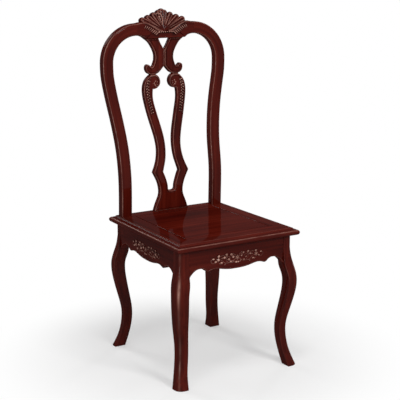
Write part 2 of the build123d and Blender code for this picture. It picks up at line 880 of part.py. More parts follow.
def scroll_half():
    hook = scaled(hook_shares, scroll_reach, scroll_height, neck_z)
    hollow = scaled(hollow_shares, scroll_reach, scroll_height, neck_z)
    inner_top = scaled(inner_top_shares, scroll_reach, scroll_height, neck_z)
    inner_foot = scaled(inner_foot_shares, scroll_reach, scroll_height, neck_z)
    touch_top = (0, neck_z + touch_shares[0] * scroll_height)
    touch_foot = (0, neck_z + touch_shares[1] * scroll_height)
    with BuildLine() as line:
        Spline((neck_gap + neck_width, neck_z), *hook)
        Spline(*hollow, (bridge_reach, bridge_z))
        Line((bridge_reach, bridge_z), (scroll_top_gap, bridge_z))
        Spline((scroll_top_gap, bridge_z), *inner_top, touch_top)
        Line(touch_top, touch_foot)
        Spline(touch_foot, *inner_foot, (neck_gap, neck_z))
        Line((neck_gap, neck_z), (neck_gap + neck_width, neck_z))
    return line.edges()


for side_name, side in sides.items():
    with BuildPart() as scroll:
        with BuildSketch(Plane.XZ):
            make_face(scroll_half())
            if side < 0:
                mirror(about=Plane.YZ, mode=Mode.REPLACE)
        extrude(amount=overall_depth, both=True)
        with BuildSketch(Plane.YZ):
            make_face(raked_band())
        extrude(amount=seat_front_width / 2, both=True, mode=Mode.INTERSECT)
        drill_small_dowels("splat", "scroll")
    save(scroll.part, f"{side_name}_scroll")


# Dowels: thick ones at the joints of the frame, thin ones at the scrolls and the shell.
with BuildPart() as frame_dowels:
    with Locations(*[(side * x, stile_top_y, shoulder_z) for x in stile_dowel_xs for side in sides.values()]):
        Cylinder(dowel_diameter / 2, dowel_length)
    with Locations(*[(side * arch_x, stile_top_y, z) for z in shoulder_dowel_zs for side in sides.values()]):
        Cylinder(dowel_diameter / 2, dowel_length, rotation=(0, 90, 0))
save(frame_dowels.part, "frame_dowels")

with BuildPart() as small_dowels:
    with Locations(*[place for joint in small_dowel_places.values() for place in joint]):
        Cylinder(small_dowel_diameter / 2, small_dowel_length)
save(small_dowels.part, "small_dowels")
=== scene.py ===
import json
import math
import bmesh
import bpy
import numpy as np
from mathutils import Matrix, Vector
from mathutils.geometry import delaunay_2d_cdt


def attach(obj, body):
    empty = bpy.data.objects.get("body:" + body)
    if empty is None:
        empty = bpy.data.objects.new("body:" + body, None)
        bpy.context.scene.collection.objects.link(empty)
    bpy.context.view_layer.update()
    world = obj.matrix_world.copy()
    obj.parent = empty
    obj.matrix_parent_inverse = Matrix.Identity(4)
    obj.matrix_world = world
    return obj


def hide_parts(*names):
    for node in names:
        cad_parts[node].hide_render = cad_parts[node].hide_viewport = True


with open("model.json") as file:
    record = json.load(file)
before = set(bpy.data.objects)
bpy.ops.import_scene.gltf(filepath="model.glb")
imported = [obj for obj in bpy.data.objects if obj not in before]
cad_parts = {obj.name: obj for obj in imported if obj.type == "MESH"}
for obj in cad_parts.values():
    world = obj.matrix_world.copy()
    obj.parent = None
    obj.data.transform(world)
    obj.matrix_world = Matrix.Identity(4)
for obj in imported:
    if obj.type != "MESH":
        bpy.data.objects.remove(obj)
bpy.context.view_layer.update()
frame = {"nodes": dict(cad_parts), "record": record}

mm = 0.001
sides = {"left": -1, "right": 1}
ends = {"front": -1, "rear": 1}


# Camera: the photograph's view of the chair
view = {
    "azimuth": -31.4,
    "elevation": 13.1,
    "distance": 3.461,
    "aim": (-2.65 * mm, -11.7 * mm, 519.5 * mm),
    "lens": 98.586,
}

azimuth = math.radians(view["azimuth"])
elevation = math.radians(view["elevation"])
viewRight = Vector((math.cos(azimuth), math.sin(azimuth), 0))
viewBack = Vector((math.sin(azimuth), -math.cos(azimuth), 0)) * math.cos(elevation)
viewBack += Vector((0, 0, math.sin(elevation)))
viewUp = viewBack.cross(viewRight)
cameraData = bpy.data.cameras.new("camera")
cameraData.lens = view["lens"]
camera = bpy.data.objects.new("camera", cameraData)
turn = Matrix((viewRight, viewUp, viewBack)).transposed().to_4x4()
camera.matrix_world = Matrix.Translation(Vector(view["aim"]) + viewBack * view["distance"]) @ turn
bpy.context.scene.collection.objects.link(camera)
bpy.context.scene.camera = camera
print("camera placed")


# Smooth curves through knots
def cubicSlopes(t, knots, start=None, end=None):  # natural at an end that has no slope given
    n = len(t)
    h = np.diff(t)
    system = np.zeros((n, n))
    right = np.zeros(knots.shape)
    for i in range(1, n - 1):
        system[i, i - 1 : i + 2] = 1 / h[i - 1], 2 / h[i - 1] + 2 / h[i], 1 / h[i]
        right[i] = 3 * ((knots[i] - knots[i - 1]) / h[i - 1] ** 2 + (knots[i + 1] - knots[i]) / h[i] ** 2)
    system[0, :2] = 2, 1
    right[0] = 3 * (knots[1] - knots[0]) / h[0]
    system[-1, -2:] = 1, 2
    right[-1] = 3 * (knots[-1] - knots[-2]) / h[-1]
    if start is not None:
        system[0, :2] = 1, 0
        right[0] = start
    if end is not None:
        system[-1, -2:] = 0, 1
        right[-1] = end
    return np.linalg.solve(system, right)


def cubicAt(t, knots, slopes, x):
    i = np.clip(np.searchsorted(t, x, side="right") - 1, 0, len(t) - 2)
    h = (t[i + 1] - t[i])[:, None]
    s = ((x - t[i]) / h[:, 0])[:, None]
    first = (2 * s**3 - 3 * s**2 + 1) * knots[i] + (s**3 - 2 * s**2 + s) * h * slopes[i]
    return first + (3 * s**2 - 2 * s**3) * knots[i + 1] + (s**3 - s**2) * h * slopes[i + 1]


def smoothLine(knots, spacing, start=None, end=None):  # evenly spaced points on a cubic through the knots
    knots = np.array(knots, float)
    t = np.concatenate([[0], np.cumsum(np.linalg.norm(np.diff(knots, axis=0), axis=1))])
    slopes = cubicSlopes(t, knots, start, end)
    fine = np.linspace(0, t[-1], len(knots) * 60)
    path = cubicAt(t, knots, slopes, fine)
    run = np.concatenate([[0], np.cumsum(np.linalg.norm(np.diff(path, axis=0), axis=1))])
    count = max(2, int(round(run[-1] / spacing)) + 1)
    return cubicAt(t, knots, slopes, np.interp(np.linspace(0, run[-1], count), run, fine))


def straightLine(a, b, spacing):
    count = max(2, int(round(math.dist(a, b) / spacing)) + 1)
    return np.linspace(a, b, count)


def arcThrough(a, b, c, spacing):  # the circle through three points, from the first to the last
    a, b, c = (np.array(p, float) for p in (a, b, c))
    d = 2 * (a[0] * (b[1] - c[1]) + b[0] * (c[1] - a[1]) + c[0] * (a[1] - b[1]))
    square = [float(p @ p) for p in (a, b, c)]
    x = (square[0] * (b[1] - c[1]) + square[1] * (c[1] - a[1]) + square[2] * (a[1] - b[1])) / d
    y = (square[0] * (c[0] - b[0]) + square[1] * (a[0] - c[0]) + square[2] * (b[0] - a[0])) / d
    angles = [math.atan2(p[1] - y, p[0] - x) for p in (a, b, c)]
    sweep = (angles[2] - angles[0]) % (2 * math.pi)
    if (angles[1] - angles[0]) % (2 * math.pi) > sweep:
        sweep -= 2 * math.pi
    radius = math.hypot(a[0] - x, a[1] - y)
    count = max(3, int(round(abs(sweep) * radius / spacing)) + 1)
    angle = angles[0] + np.linspace(0, sweep, count)
    return np.stack([x + radius * np.cos(angle), y + radius * np.sin(angle)], axis=1)


def chain(*runs):  # joins runs of points end to end, without repeats
    points = [np.array(runs[0], float)]
    for run in runs[1:]:
        points.append(np.array(run, float)[1:])
    return np.concatenate(points)


def mirrored(half):  # a half outline from the middle round to the middle, closed by its mirror image
    other = half[::-1] * (-1, 1)
    return np.concatenate([half, other[1:-1]])


def scaled(shares, width, height, base=0.0):
    return [(x * width, base + z * height) for x, z in shares]


def counterClockwise(loop):
    x, y = loop[:, 0], loop[:, 1]
    area = np.sum(x * np.roll(y, -1) - np.roll(x, -1) * y)
    return loop if area > 0 else loop[::-1]


def smoothStep(x, low, high):
    t = np.clip((x - low) / (high - low), 0, 1)
    return t * t * (3 - 2 * t)


# Pieces from points
def grainOf(points, axis):  # the third coordinate runs along the grain
    order = {"x": (1, 2, 0), "y": (2, 0, 1), "z": (0, 1, 2)}[axis]
    return points[:, order]


def storeGrain(mesh, along):
    layer = mesh.attributes.new("grain", "FLOAT_VECTOR", "POINT")
    layer.data.foreach_set("vector", along.astype(np.float32).ravel())


def storePaintedLight(mesh, paintedLight):  # above 0 a painted highlight on high points and edges, below 0 painted shade in the hollows
    layer = mesh.attributes.new("paintedLight", "FLOAT", "POINT")
    layer.data.foreach_set("value", paintedLight.astype(np.float32))


def makePiece(name, points, faces, material, hides=(), sharp=35, grain="z", paintedLight=None):
    points = np.array(points, float)
    mesh = bpy.data.meshes.new(name)
    mesh.from_pydata(points.tolist(), [], faces)
    storeGrain(mesh, grain if isinstance(grain, np.ndarray) else grainOf(points, grain))
    if paintedLight is not None:
        storePaintedLight(mesh, paintedLight)
    work = bmesh.new()
    work.from_mesh(mesh)
    bmesh.ops.remove_doubles(work, verts=work.verts, dist=0.01 * mm)
    bmesh.ops.recalc_face_normals(work, faces=work.faces)
    work.to_mesh(mesh)
    work.free()
    mesh.shade_smooth()
    mesh.set_sharp_from_angle(angle=math.radians(sharp))
    mesh.materials.append(material)
    piece = bpy.data.objects.new(name, mesh)
    bpy.context.scene.collection.objects.link(piece)
    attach(piece, "root")
    if hides:
        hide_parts(*hides)
    return piece


def ringFaces(rings, count):  # quads between rings of points, and a face at each end
    faces = []
    for r in range(rings - 1):
        for i in range(count):
            j = (i + 1) % count
            faces.append((r * count + i, r * count + j, (r + 1) * count + j, (r + 1) * count + i))
    faces.append(tuple(range(count)))
    faces.append(tuple(range((rings - 1) * count, rings * count)))
    return faces


def roundCorners(corners, radii, steps):  # a closed outline with its corners rounded
    points = []
    corners = [np.array(c, float) for c in corners]
    for i, corner in enumerate(corners):
        before = corners[i - 1] - corner
        after = corners[(i + 1) % len(corners)] - corner
        before /= np.linalg.norm(before)
        after /= np.linalg.norm(after)
        half = math.acos(float(before @ after)) / 2
        reach = radii[i] / math.tan(half)
        middle = (before + after) / np.linalg.norm(before + after)
        centre = corner + middle * radii[i] / math.sin(half)
        first = corner + before * reach - centre
        last = corner + after * reach - centre
        a = math.atan2(first[1], first[0])
        sweep = (math.atan2(last[1], last[0]) - a + math.pi) % (2 * math.pi) - math.pi
        for s in np.linspace(0, 1, steps[i]):
            points.append(centre + radii[i] * np.array([math.cos(a + s * sweep), math.sin(a + s * sweep)]))
    return np.array(points)


# Carved boards: triangles in rows along an outline, lifted to a carved height
def edgeDistance(points, loop):  # how far each point lies from a closed outline
    a = loop
    run = np.roll(loop, -1, axis=0) - a
    length = np.maximum((run**2).sum(1), 1e-12)
    nearest = []
    for part in np.array_split(points, max(1, len(points) // 1500)):
        away = part[:, None] - a[None]
        share = np.clip((away * run).sum(2) / length, 0, 1)
        gap = away - share[:, :, None] * run
        nearest.append(np.sqrt((gap**2).sum(2)).min(1))
    return np.concatenate(nearest)


def insideLoop(points, loop):
    inside = np.zeros(len(points), bool)
    for (x0, y0), (x1, y1) in zip(loop, np.roll(loop, -1, axis=0)):
        if y0 == y1:
            continue
        crosses = (y0 > points[:, 1]) != (y1 > points[:, 1])
        inside ^= crosses & (points[:, 0] < (x1 - x0) * (points[:, 1] - y0) / (y1 - y0) + x0)
    return inside


def meshOutline(loop, rings, spacing):
    points = [loop]
    normal = np.roll(loop, -1, axis=0) - np.roll(loop, 1, axis=0)
    normal = np.stack([-normal[:, 1], normal[:, 0]], axis=1)
    normal /= np.linalg.norm(normal, axis=1)[:, None]
    for ring in rings:
        row = loop + normal * ring
        row = row[edgeDistance(row, loop) > ring * 0.93]
        kept = []
        for p in row:
            if not kept or math.dist(p, kept[-1]) > spacing * 0.35:
                kept.append(p)
        if kept:
            points.append(np.array(kept))
    low, high = loop.min(0), loop.max(0)
    deepest = rings[-1] if len(rings) else 0
    columns = np.arange(low[0], high[0], spacing)
    rows = np.arange(low[1], high[1], spacing * math.sqrt(3) / 2)
    grid = np.array([(x + (k % 2) * spacing / 2, y) for k, y in enumerate(rows) for x in columns])
    grid = grid[insideLoop(grid, loop)]
    if len(grid):
        grid = grid[edgeDistance(grid, loop) > deepest + spacing * 0.6]
    if len(grid):
        points.append(grid)
    flat = np.concatenate(points)
    edge = list(range(len(loop)))
    found = delaunay_2d_cdt([Vector(p) for p in flat], [], [edge], 1, 1e-6)
    coords = np.array([tuple(v) for v in found[0]])
    order = {}
    for k, origins in enumerate(found[3]):
        for origin in origins:
            order[origin] = k
    return coords, [tuple(f) for f in found[2]], [order[i] for i in edge]


def fromEdge(coords, border, loop):
    onEdge = np.isin(np.arange(len(coords)), border)
    return np.where(onEdge, 0, edgeDistance(coords, loop))


def carveBoard(loop, front, place, rings, spacing, back=None, backRings=(), paintedLightOf=None):
    loop = counterClockwise(loop)
    coords, faces, border = meshOutline(loop, rings, spacing)
    distance = fromEdge(coords, border, loop)
    points = place(coords[:, 0], coords[:, 1], front(coords, distance))  # front gives a height over the back
    rear, rearFaces, rearBorder = meshOutline(loop, backRings, spacing * 5)
    level = back(rear, fromEdge(rear, rearBorder, loop)) if back else np.zeros(len(rear))
    shift = len(points)
    points = np.concatenate([points, place(rear[:, 0], rear[:, 1], level)])
    faces = faces + [tuple(shift + i for i in reversed(f)) for f in rearFaces]
    for i in range(len(border)):
        j = (i + 1) % len(border)
        faces.append((border[j], border[i], shift + rearBorder[i], shift + rearBorder[j]))
    # painted highlight and shade on the board's front
    paintedLight = np.zeros(len(points))
    if paintedLightOf:
        paintedLight[:shift] = paintedLightOf(coords, distance)
    return points, faces, paintedLight


def roundOver(distance, radius):  # drop of a rounded edge below its face
    d = np.clip(distance, 0, radius)
    return radius - np.sqrt(np.maximum(radius**2 - (radius - d) ** 2, 0))


def groove(distance, place, width, depth):  # a fine line cut along the edge
    return depth * np.exp(-(((distance - place) / width) ** 2))


def paintedEdgeLines(highlightAndShade, hollow):  # a painted highlight line along a board's rounded edges, and a line of painted shade beside them
    return lambda points, distance: groove(distance, *highlightAndShade) - groove(distance, *hollow)


def paintedCornerLines(middles, width, strength, count):  # painted highlight or shade lines round a section, at the numbers of its corner points
    i = np.arange(count)
    return sum(groove(i, middle, width, strength) for middle in middles)


# Node trees for the materials and the carving
def feed(tree, node, inputs):  # links sockets, and sets other values on the node's own sockets
    for name, value in inputs.items():
        if isinstance(value, bpy.types.NodeSocket):
            tree.links.new(value, node.inputs[name])
        else:
            node.inputs[name].default_value = value
    return node


def addNode(tree, kind, inputs={}, **settings):  # settings are the node's own choices, such as its mode
    node = tree.nodes.new(kind)
    for name, value in settings.items():
        setattr(node, name, value)
    return feed(tree, node, inputs)


def mathNode(tree, operation, a, b):
    return addNode(tree, "ShaderNodeMath", {0: a, 1: b}, operation=operation).outputs[0]


def stretchedNoise(tree, source, lengthways, across, detail, distortion=0.0):  # noise drawn out along the grain
    scale = (1 / across, 1 / across, 1 / lengthways)
    mapping = addNode(tree, "ShaderNodeMapping", {"Vector": source, "Scale": scale})
    inputs = {"Vector": mapping.outputs["Vector"], "Scale": 1, "Detail": detail, "Distortion": distortion}
    return addNode(tree, "ShaderNodeTexNoise", inputs).outputs["Fac"]


def colourRamp(tree, share, stops):  # each stop is a place and a colour
    ramp = addNode(tree, "ShaderNodeValToRGB", {"Fac": share})
    elements = ramp.color_ramp.elements
    for element, (place, colour) in zip(elements, (stops[0], stops[-1])):
        element.position = place
        element.color = (*colour, 1)
    for place, colour in stops[1:-1]:
        elements.new(place).color = (*colour, 1)
    return ramp.outputs["Color"]


def mixColour(tree, share, under, over):
    inputs = {"Factor": share, "A": under, "B": (*over, 1)}
    return addNode(tree, "ShaderNodeMix", inputs, data_type="RGBA").outputs["Result"]


def newMaterial(name):
    material = bpy.data.materials.new(name)
    material.use_nodes = True
    return material, material.node_tree, material.node_tree.nodes["Principled BSDF"]


# Lacquered wood: stained streaks along the grain, fine pores, a thin clear coat, and painted highlights and shade.
# A noise is its length along the grain, its width, and its detail. Lengths are in metres.
woods = {
    "dark": (0.03, 0.0022, 0.0014),
    "middle": (0.074, 0.0056, 0.0028),
    "light": (0.128, 0.0125, 0.0062),
    "stainStops": (0.3, 0.5, 0.72),
    "paintedHighlight": (0.62, 0.34, 0.27),  # painted highlight on edges and high points
    "paintedShade": (0.007, 0.001, 0.0007),  # painted shade in the hollows
    "roughness": 0.4,
    "roughnessSpread": 0.06,
    "specular": 0.0,
    "coat": 0.028,
    "coatIndex": 2.5,
    "coatRoughness": 0.04,
    "streaks": (0.42, 0.012, 6, 0.6),
    "clouds": (0.3, 0.07, 2),
    "cloudShare": 0.4,
    # noise that makes the painted highlight uneven along the grain
    "highlightPatches": (0.05, 0.02, 3),
    "highlightRange": (0.3, 1.5),
    "pores": (0.02, 0.0012, 2),
    "poreBump": 0.05,
    "poreDepth": 0.0003,
}


def makeLacquer():
    material, tree, shader = newMaterial("red-brown lacquered wood")
    along = addNode(tree, "ShaderNodeAttribute", attribute_name="grain").outputs["Vector"]
    paintedLight = addNode(tree, "ShaderNodeAttribute", attribute_name="paintedLight").outputs["Fac"]
    streaks = stretchedNoise(tree, along, *woods["streaks"])
    clouds = stretchedNoise(tree, along, *woods["clouds"])
    blend = addNode(tree, "ShaderNodeMix", {"Factor": woods["cloudShare"], "A": streaks, "B": clouds})
    stains = [woods["dark"], woods["middle"], woods["light"]]
    colour = colourRamp(tree, blend.outputs["Result"], list(zip(woods["stainStops"], stains)))
    patches = stretchedNoise(tree, along, *woods["highlightPatches"])
    least, most = woods["highlightRange"]
    span = {"Value": patches, "From Min": 0.3, "From Max": 0.7, "To Min": least, "To Max": most}
    uneven = addNode(tree, "ShaderNodeMapRange", span).outputs["Result"]
    # the pieces' attribute paints a highlight into the colour above 0, and shade below 0
    colour = mixColour(tree, mathNode(tree, "MULTIPLY", paintedLight, uneven), colour, woods["paintedHighlight"])
    colour = mixColour(tree, mathNode(tree, "MULTIPLY", paintedLight, -1), colour, woods["paintedShade"])
    pores = stretchedNoise(tree, along, *woods["pores"])
    depth = {"Height": pores, "Strength": woods["poreBump"], "Distance": woods["poreDepth"]}
    smooth, rough = (woods["roughness"] + sign * woods["roughnessSpread"] for sign in (-1, 1))
    shine = addNode(tree, "ShaderNodeMapRange", {"Value": clouds, "To Min": smooth, "To Max": rough})
    feed(tree, shader, {
        "Base Color": colour,
        "Normal": addNode(tree, "ShaderNodeBump", depth).outputs["Normal"],
        "Roughness": shine.outputs["Result"],
        "Specular IOR Level": woods["specular"],
        "Coat Weight": woods["coat"],
        "Coat IOR": woods["coatIndex"],
        "Coat Roughness": woods["coatRoughness"],
    })
    return material


# Finishes of the pieces inside
inner = {
    "planedStops": [(0.35, (0.16, 0.075, 0.035)), (0.7, (0.36, 0.2, 0.1))],
    "planedGrain": (0.006, 0.1, 5),
    "planedRoughness": 0.62,
    "steel": (0.55, 0.54, 0.52),
    "steelRoughness": (0.28, 0.5),
    "scratchScale": 900,
}


def makePlainWood():
    material, tree, shader = newMaterial("plain planed wood")
    coordinates = addNode(tree, "ShaderNodeTexCoord")
    grain = stretchedNoise(tree, coordinates.outputs["Object"], *inner["planedGrain"])
    colour = colourRamp(tree, grain, inner["planedStops"])
    feed(tree, shader, {"Base Color": colour, "Roughness": inner["planedRoughness"]})
    return material


def makeScrewSteel():
    material, tree, shader = newMaterial("zinc plated steel")
    scratch = addNode(tree, "ShaderNodeTexNoise", {"Scale": inner["scratchScale"]})
    smooth, rough = inner["steelRoughness"]
    shade = addNode(tree, "ShaderNodeMapRange", {"Value": scratch.outputs["Fac"], "To Min": smooth, "To Max": rough})
    feed(tree, shader, {"Base Color": (*inner["steel"], 1), "Metallic": 1, "Roughness": shade.outputs["Result"]})
    return material


lacquer = makeLacquer()
plainWood = makePlainWood()
screwSteel = makeScrewSteel()
print("materials ready")


# Carving that repeats or follows a path: two node trees, each fed with lines of points
def newTree(name, sizes, facing):
    tree = bpy.data.node_groups.new(name, "GeometryNodeTree")
    tree.interface.new_socket("Geometry", in_out="INPUT", socket_type="NodeSocketGeometry")
    tree.interface.new_socket("Geometry", in_out="OUTPUT", socket_type="NodeSocketGeometry")
    for socketName, value in sizes.items():
        tree.interface.new_socket(socketName, in_out="INPUT", socket_type="NodeSocketFloat").default_value = value
    if facing:
        tree.interface.new_socket("Facing", in_out="INPUT", socket_type="NodeSocketVector")
    tree.interface.new_socket("Finish", in_out="INPUT", socket_type="NodeSocketMaterial")
    return tree, tree.nodes.new("NodeGroupInput").outputs, tree.nodes.new("NodeGroupOutput").inputs


def finishTree(tree, geometry, inputs, outputs):
    realize = addNode(tree, "GeometryNodeRealizeInstances", {0: geometry})
    smooth = addNode(tree, "GeometryNodeSetShadeSmooth", {0: realize.outputs[0]})
    finish = addNode(tree, "GeometryNodeSetMaterial", {"Geometry": smooth.outputs[0], "Material": inputs["Finish"]})
    tree.links.new(finish.outputs["Geometry"], outputs["Geometry"])


def thinned(tree, share, thin):  # 1 at the start of a line, less by thin at its end
    return mathNode(tree, "SUBTRACT", 1.0, mathNode(tree, "MULTIPLY", share, thin))


def stemTree():  # a round stem along each line, thinning towards its end
    tree, inputs, outputs = newTree("carved stem", {"Radius": 0.002, "Step": 0.002, "Thin": 0.6}, False)
    curve = addNode(tree, "GeometryNodeMeshToCurve", {0: inputs["Geometry"]}).outputs[0]
    even = addNode(tree, "GeometryNodeResampleCurve", {"Curve": curve, "Length": inputs["Step"]}, mode="LENGTH")
    share = addNode(tree, "GeometryNodeSplineParameter").outputs["Factor"]
    size = mathNode(tree, "MULTIPLY", inputs["Radius"], thinned(tree, share, inputs["Thin"]))
    circle = addNode(tree, "GeometryNodeCurvePrimitiveCircle", {"Resolution": 10, "Radius": 1})
    sweep = addNode(tree, "GeometryNodeCurveToMesh", {
        "Curve": even.outputs[0],
        "Profile Curve": circle.outputs["Curve"],
        "Scale": size,
        "Fill Caps": True,
    })
    finishTree(tree, sweep.outputs[0], inputs, outputs)
    return tree


def petalTree():  # rounded petals, beads or gouge ridges set at even steps along each line
    shape = {"Spacing": 0.005, "Length": 0.003, "Width": 0.002, "Height": 0.0015, "Turn": 0.0, "Thin": 0.0}
    tree, inputs, outputs = newTree("carved petals", shape, True)
    curve = addNode(tree, "GeometryNodeMeshToCurve", {0: inputs["Geometry"]}).outputs[0]
    even = addNode(tree, "GeometryNodeCurveToPoints", {"Curve": curve, "Length": inputs["Spacing"]}, mode="LENGTH")
    align = "FunctionNodeAlignRotationToVector"
    along = addNode(tree, align, {"Vector": even.outputs["Tangent"]}, axis="X").outputs[0]
    facing = addNode(tree, align, {"Rotation": along, "Vector": inputs["Facing"]}, axis="Z", pivot_axis="X")
    twist = addNode(tree, "FunctionNodeAxisAngleToRotation", {"Axis": (0, 0, 1), "Angle": inputs["Turn"]})
    turns = {"Rotation": facing.outputs[0], "Rotate By": twist.outputs[0]}
    rotate = addNode(tree, "FunctionNodeRotateRotation", turns, rotation_space="LOCAL")
    ball = addNode(tree, "GeometryNodeMeshUVSphere", {"Segments": 14, "Rings": 8, "Radius": 1})
    size = addNode(tree, "ShaderNodeCombineXYZ", {"X": inputs["Length"], "Y": inputs["Width"], "Z": inputs["Height"]})
    place = addNode(tree, "GeometryNodeInputIndex").outputs[0]
    total = addNode(tree, "GeometryNodeAttributeDomainSize", {0: even.outputs["Points"]}, component="POINTCLOUD")
    share = mathNode(tree, "DIVIDE", place, total.outputs["Point Count"])
    smaller = {0: size.outputs[0], "Scale": thinned(tree, share, inputs["Thin"])}
    spread = addNode(tree, "GeometryNodeInstanceOnPoints", {
        "Points": even.outputs["Points"],
        "Instance": ball.outputs["Mesh"],
        "Rotation": rotate.outputs[0],
        "Scale": addNode(tree, "ShaderNodeVectorMath", smaller, operation="SCALE").outputs[0],
    })
    finishTree(tree, spread.outputs[0], inputs, outputs)
    return tree


# Lines are runs of points, in metres. The faces that look along facing get a painted highlight.
def growAlong(name, tree, lines, sizes, facing=(0, -1, 0), grain="z", paintedLight=1.0):
    points, edges = [], []
    for line in lines:
        first = len(points)
        points += [tuple(p) for p in line]
        edges += [(first + i, first + i + 1) for i in range(len(line) - 1)]
    path = bpy.data.meshes.new(name + "Path")
    path.from_pydata(points, edges, [])
    piece = bpy.data.objects.new(name, path)
    bpy.context.scene.collection.objects.link(piece)
    modifier = piece.modifiers.new("carving", "NODES")
    modifier.node_group = tree
    values = dict(sizes, Finish=lacquer, Facing=[float(v) for v in facing])
    for socket in tree.interface.items_tree:
        if socket.item_type == "SOCKET" and socket.in_out == "INPUT" and socket.name in values:
            modifier[socket.identifier] = values[socket.name]
    ready = piece.evaluated_get(bpy.context.evaluated_depsgraph_get())
    mesh = bpy.data.meshes.new_from_object(ready)
    piece.modifiers.clear()
    piece.data = mesh
    place = np.zeros(len(mesh.vertices) * 3)
    mesh.vertices.foreach_get("co", place)
    storeGrain(mesh, grainOf(place.reshape(-1, 3), grain))
    normals = np.zeros(len(mesh.vertices) * 3)
    mesh.vertices.foreach_get("normal", normals)
    # painted highlight on the faces that look along facing
    storePaintedLight(mesh, smoothStep(normals.reshape(-1, 3) @ np.array(facing, float), 0.5, 0.95) * paintedLight)
    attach(piece, "root")
    return piece


oneOnly = 20  # a spacing, in mm, so long that a short line gets one petal


def inMetres(sizes, **shares):  # a tree's sizes from millimetres, with its turn and thinning
    return {name: value * mm for name, value in sizes.items()} | shares


stems = stemTree()
petals = petalTree()
print("carving trees ready")


# Legs
legs = {
    "height": 427.0,
    "post": 34.6,
    "sideFlare": 17.0,
    "foreFlare": 19.8,
    "cornerShare": 0.62,
    "edgeShare": 0.06,
    "cornerSteps": [5, 5, 17, 5],
    "paintedCornerLines": (1.4, 0.52),  # painted highlight: width in points and strength, at the outer corner
    "paintedEdgeLines": (0.9, 0.14),
    "highlightAlong": 0.2,
    "kneeHighlight": (0.72, 0.07, 1.0),  # painted highlight: height share, reach and strength
    "footHighlight": (0.2, 0.12, 0.3),
    "spread": {"front": 410.2, "rear": 377.8},
    "depth": 441.0,
    "frontY": -225.8,
    "knotShares": [
        (0.0, 0.95, 1.0, 1.09),
        (0.105, 0.19, 0.01, 0.93),
        (0.21, -0.25, -0.4, 0.91),
        (0.316, -0.25, -0.44, 0.94),
        (0.42, 0.21, 0.0, 1.03),
        (0.527, 0.7, 0.6, 1.125),
        (0.632, 1.0, 0.98, 1.18),
        (0.7, 0.95, 0.92, 1.21),
        (0.765, 0.64, 0.6, 1.24),
        (0.83, 0.24, 0.21, 1.09),
        (0.9, 0.0, 0.0, 1.0),
    ],
    "rings": 120,
}
postY = {"front": legs["frontY"], "rear": legs["frontY"] + legs["depth"]}


def makeLeg(endName, sideName):
    end, side = ends[endName], sides[sideName]
    knots = np.array(legs["knotShares"])
    slopes = cubicSlopes(knots[:, 0], knots[:, 1:])
    heights = np.linspace(0, knots[-1, 0], legs["rings"])
    shape = cubicAt(knots[:, 0], knots[:, 1:], slopes, heights)
    rows = [(h, *s) for h, s in zip(heights, shape)] + [(1.0, 0.0, 0.0, 1.0)]
    steps = legs["cornerSteps"]
    points = []
    for height, sideways, fore, size in rows:
        width = legs["post"] * size
        cornerX = legs["spread"][endName] / 2 + legs["sideFlare"] * sideways
        cornerY = postY[endName] + end * legs["foreFlare"] * fore
        edge = width * legs["edgeShare"]
        corners = [(0, 0), (width, 0), (width, width), (0, width)]
        ring = roundCorners(corners, [edge, edge, width * legs["cornerShare"], edge], steps)
        for x, y in ring:
            place = (side * (cornerX - width + x), cornerY - end * (width - y), height * legs["height"])
            points.append([c * mm for c in place])
    count = len(points) // len(rows)
    level = np.array([row[0] for row in rows])
    # painted highlight down the leg's corners, strongest at the knee and the foot
    strength = legs["highlightAlong"] + groove(level, *legs["kneeHighlight"]) + groove(level, *legs["footHighlight"])
    inward, aside, outer, last = np.cumsum(steps) - (np.array(steps) + 1) // 2  # middle point of each corner
    around = paintedCornerLines([outer], *legs["paintedCornerLines"], count)
    around += paintedCornerLines([inward, aside, last], *legs["paintedEdgeLines"], count)
    makePiece(f"{sideName}{endName.capitalize()}Leg", points, ringFaces(len(rows), count), lacquer,
              [f"{endName}_{sideName}_leg"], paintedLight=np.outer(strength, around).ravel())


for endName in ends:
    for sideName in sides:
        makeLeg(endName, sideName)
print("legs made")


# Seat
seat = {
    "height": 450.0,
    "frontWidth": 438.0,
    "backWidth": 420.0,
    "depth": 461.0,
    "thickness": 23.0,
    "frontRail": 70.0,
    "sideRail": 65.0,
    "backRail": 65.0,
    "nose": 8.7,
    "arrisInset": 16.5,
    "arrisDrop": 2.0,
    "arrisRadius": 1.5,
    "reveal": 2.2,
    "panelThickness": 12.0,
    "overhang": 18.0,
    "softEdge": 0.5,
    "noseHighlight": (1.0, 0.32),  # painted highlight: width in points and strength
    "arrisHighlight": (1.2, 0.14),
    # painted shade in the cove: width in points and strength
    "coveShade": (1.2, 0.7),
}
seatFront = postY["front"] - seat["overhang"]
seatBack = seatFront + seat["depth"]
taper = (seat["frontWidth"] - seat["backWidth"]) / 2 / seat["depth"]
slant = math.hypot(1, taper)


def seatHalf(y):
    return seat["frontWidth"] / 2 - taper * (y - seatFront)


def railInner(y):
    return seatHalf(y) - seat["sideRail"] * slant


def railSection(width):  # inwards from the nose, and height under the seat's top
    nose, drop, inset, soft = seat["nose"], seat["thickness"], seat["arrisInset"], seat["softEdge"]
    top = seat["arrisRadius"]
    torus = np.linspace(-math.pi / 2, math.pi / 2, 21)
    section = [(nose - nose * math.cos(a), -drop + nose + nose * math.sin(a)) for a in torus]
    start = (nose, -drop + 2 * nose)
    stop = (inset, -seat["arrisDrop"])
    radius = inset - nose / 2
    middle = np.array([(start[0] + stop[0]) / 2, (start[1] + stop[1]) / 2])
    run = np.array([stop[0] - start[0], stop[1] - start[1]])
    sag = radius - math.sqrt(radius**2 - float(run @ run) / 4)
    belly = middle + np.array([run[1], -run[0]]) / np.linalg.norm(run) * sag
    section += [tuple(p) for p in arcThrough(start, belly, stop, 0.7)][1:]
    for a in np.linspace(math.pi, math.pi / 2, 7):
        section.append((inset + top + top * math.cos(a), -top + top * math.sin(a)))
    section += [(width - soft, 0), (width, -soft), (width, -drop)]
    return section


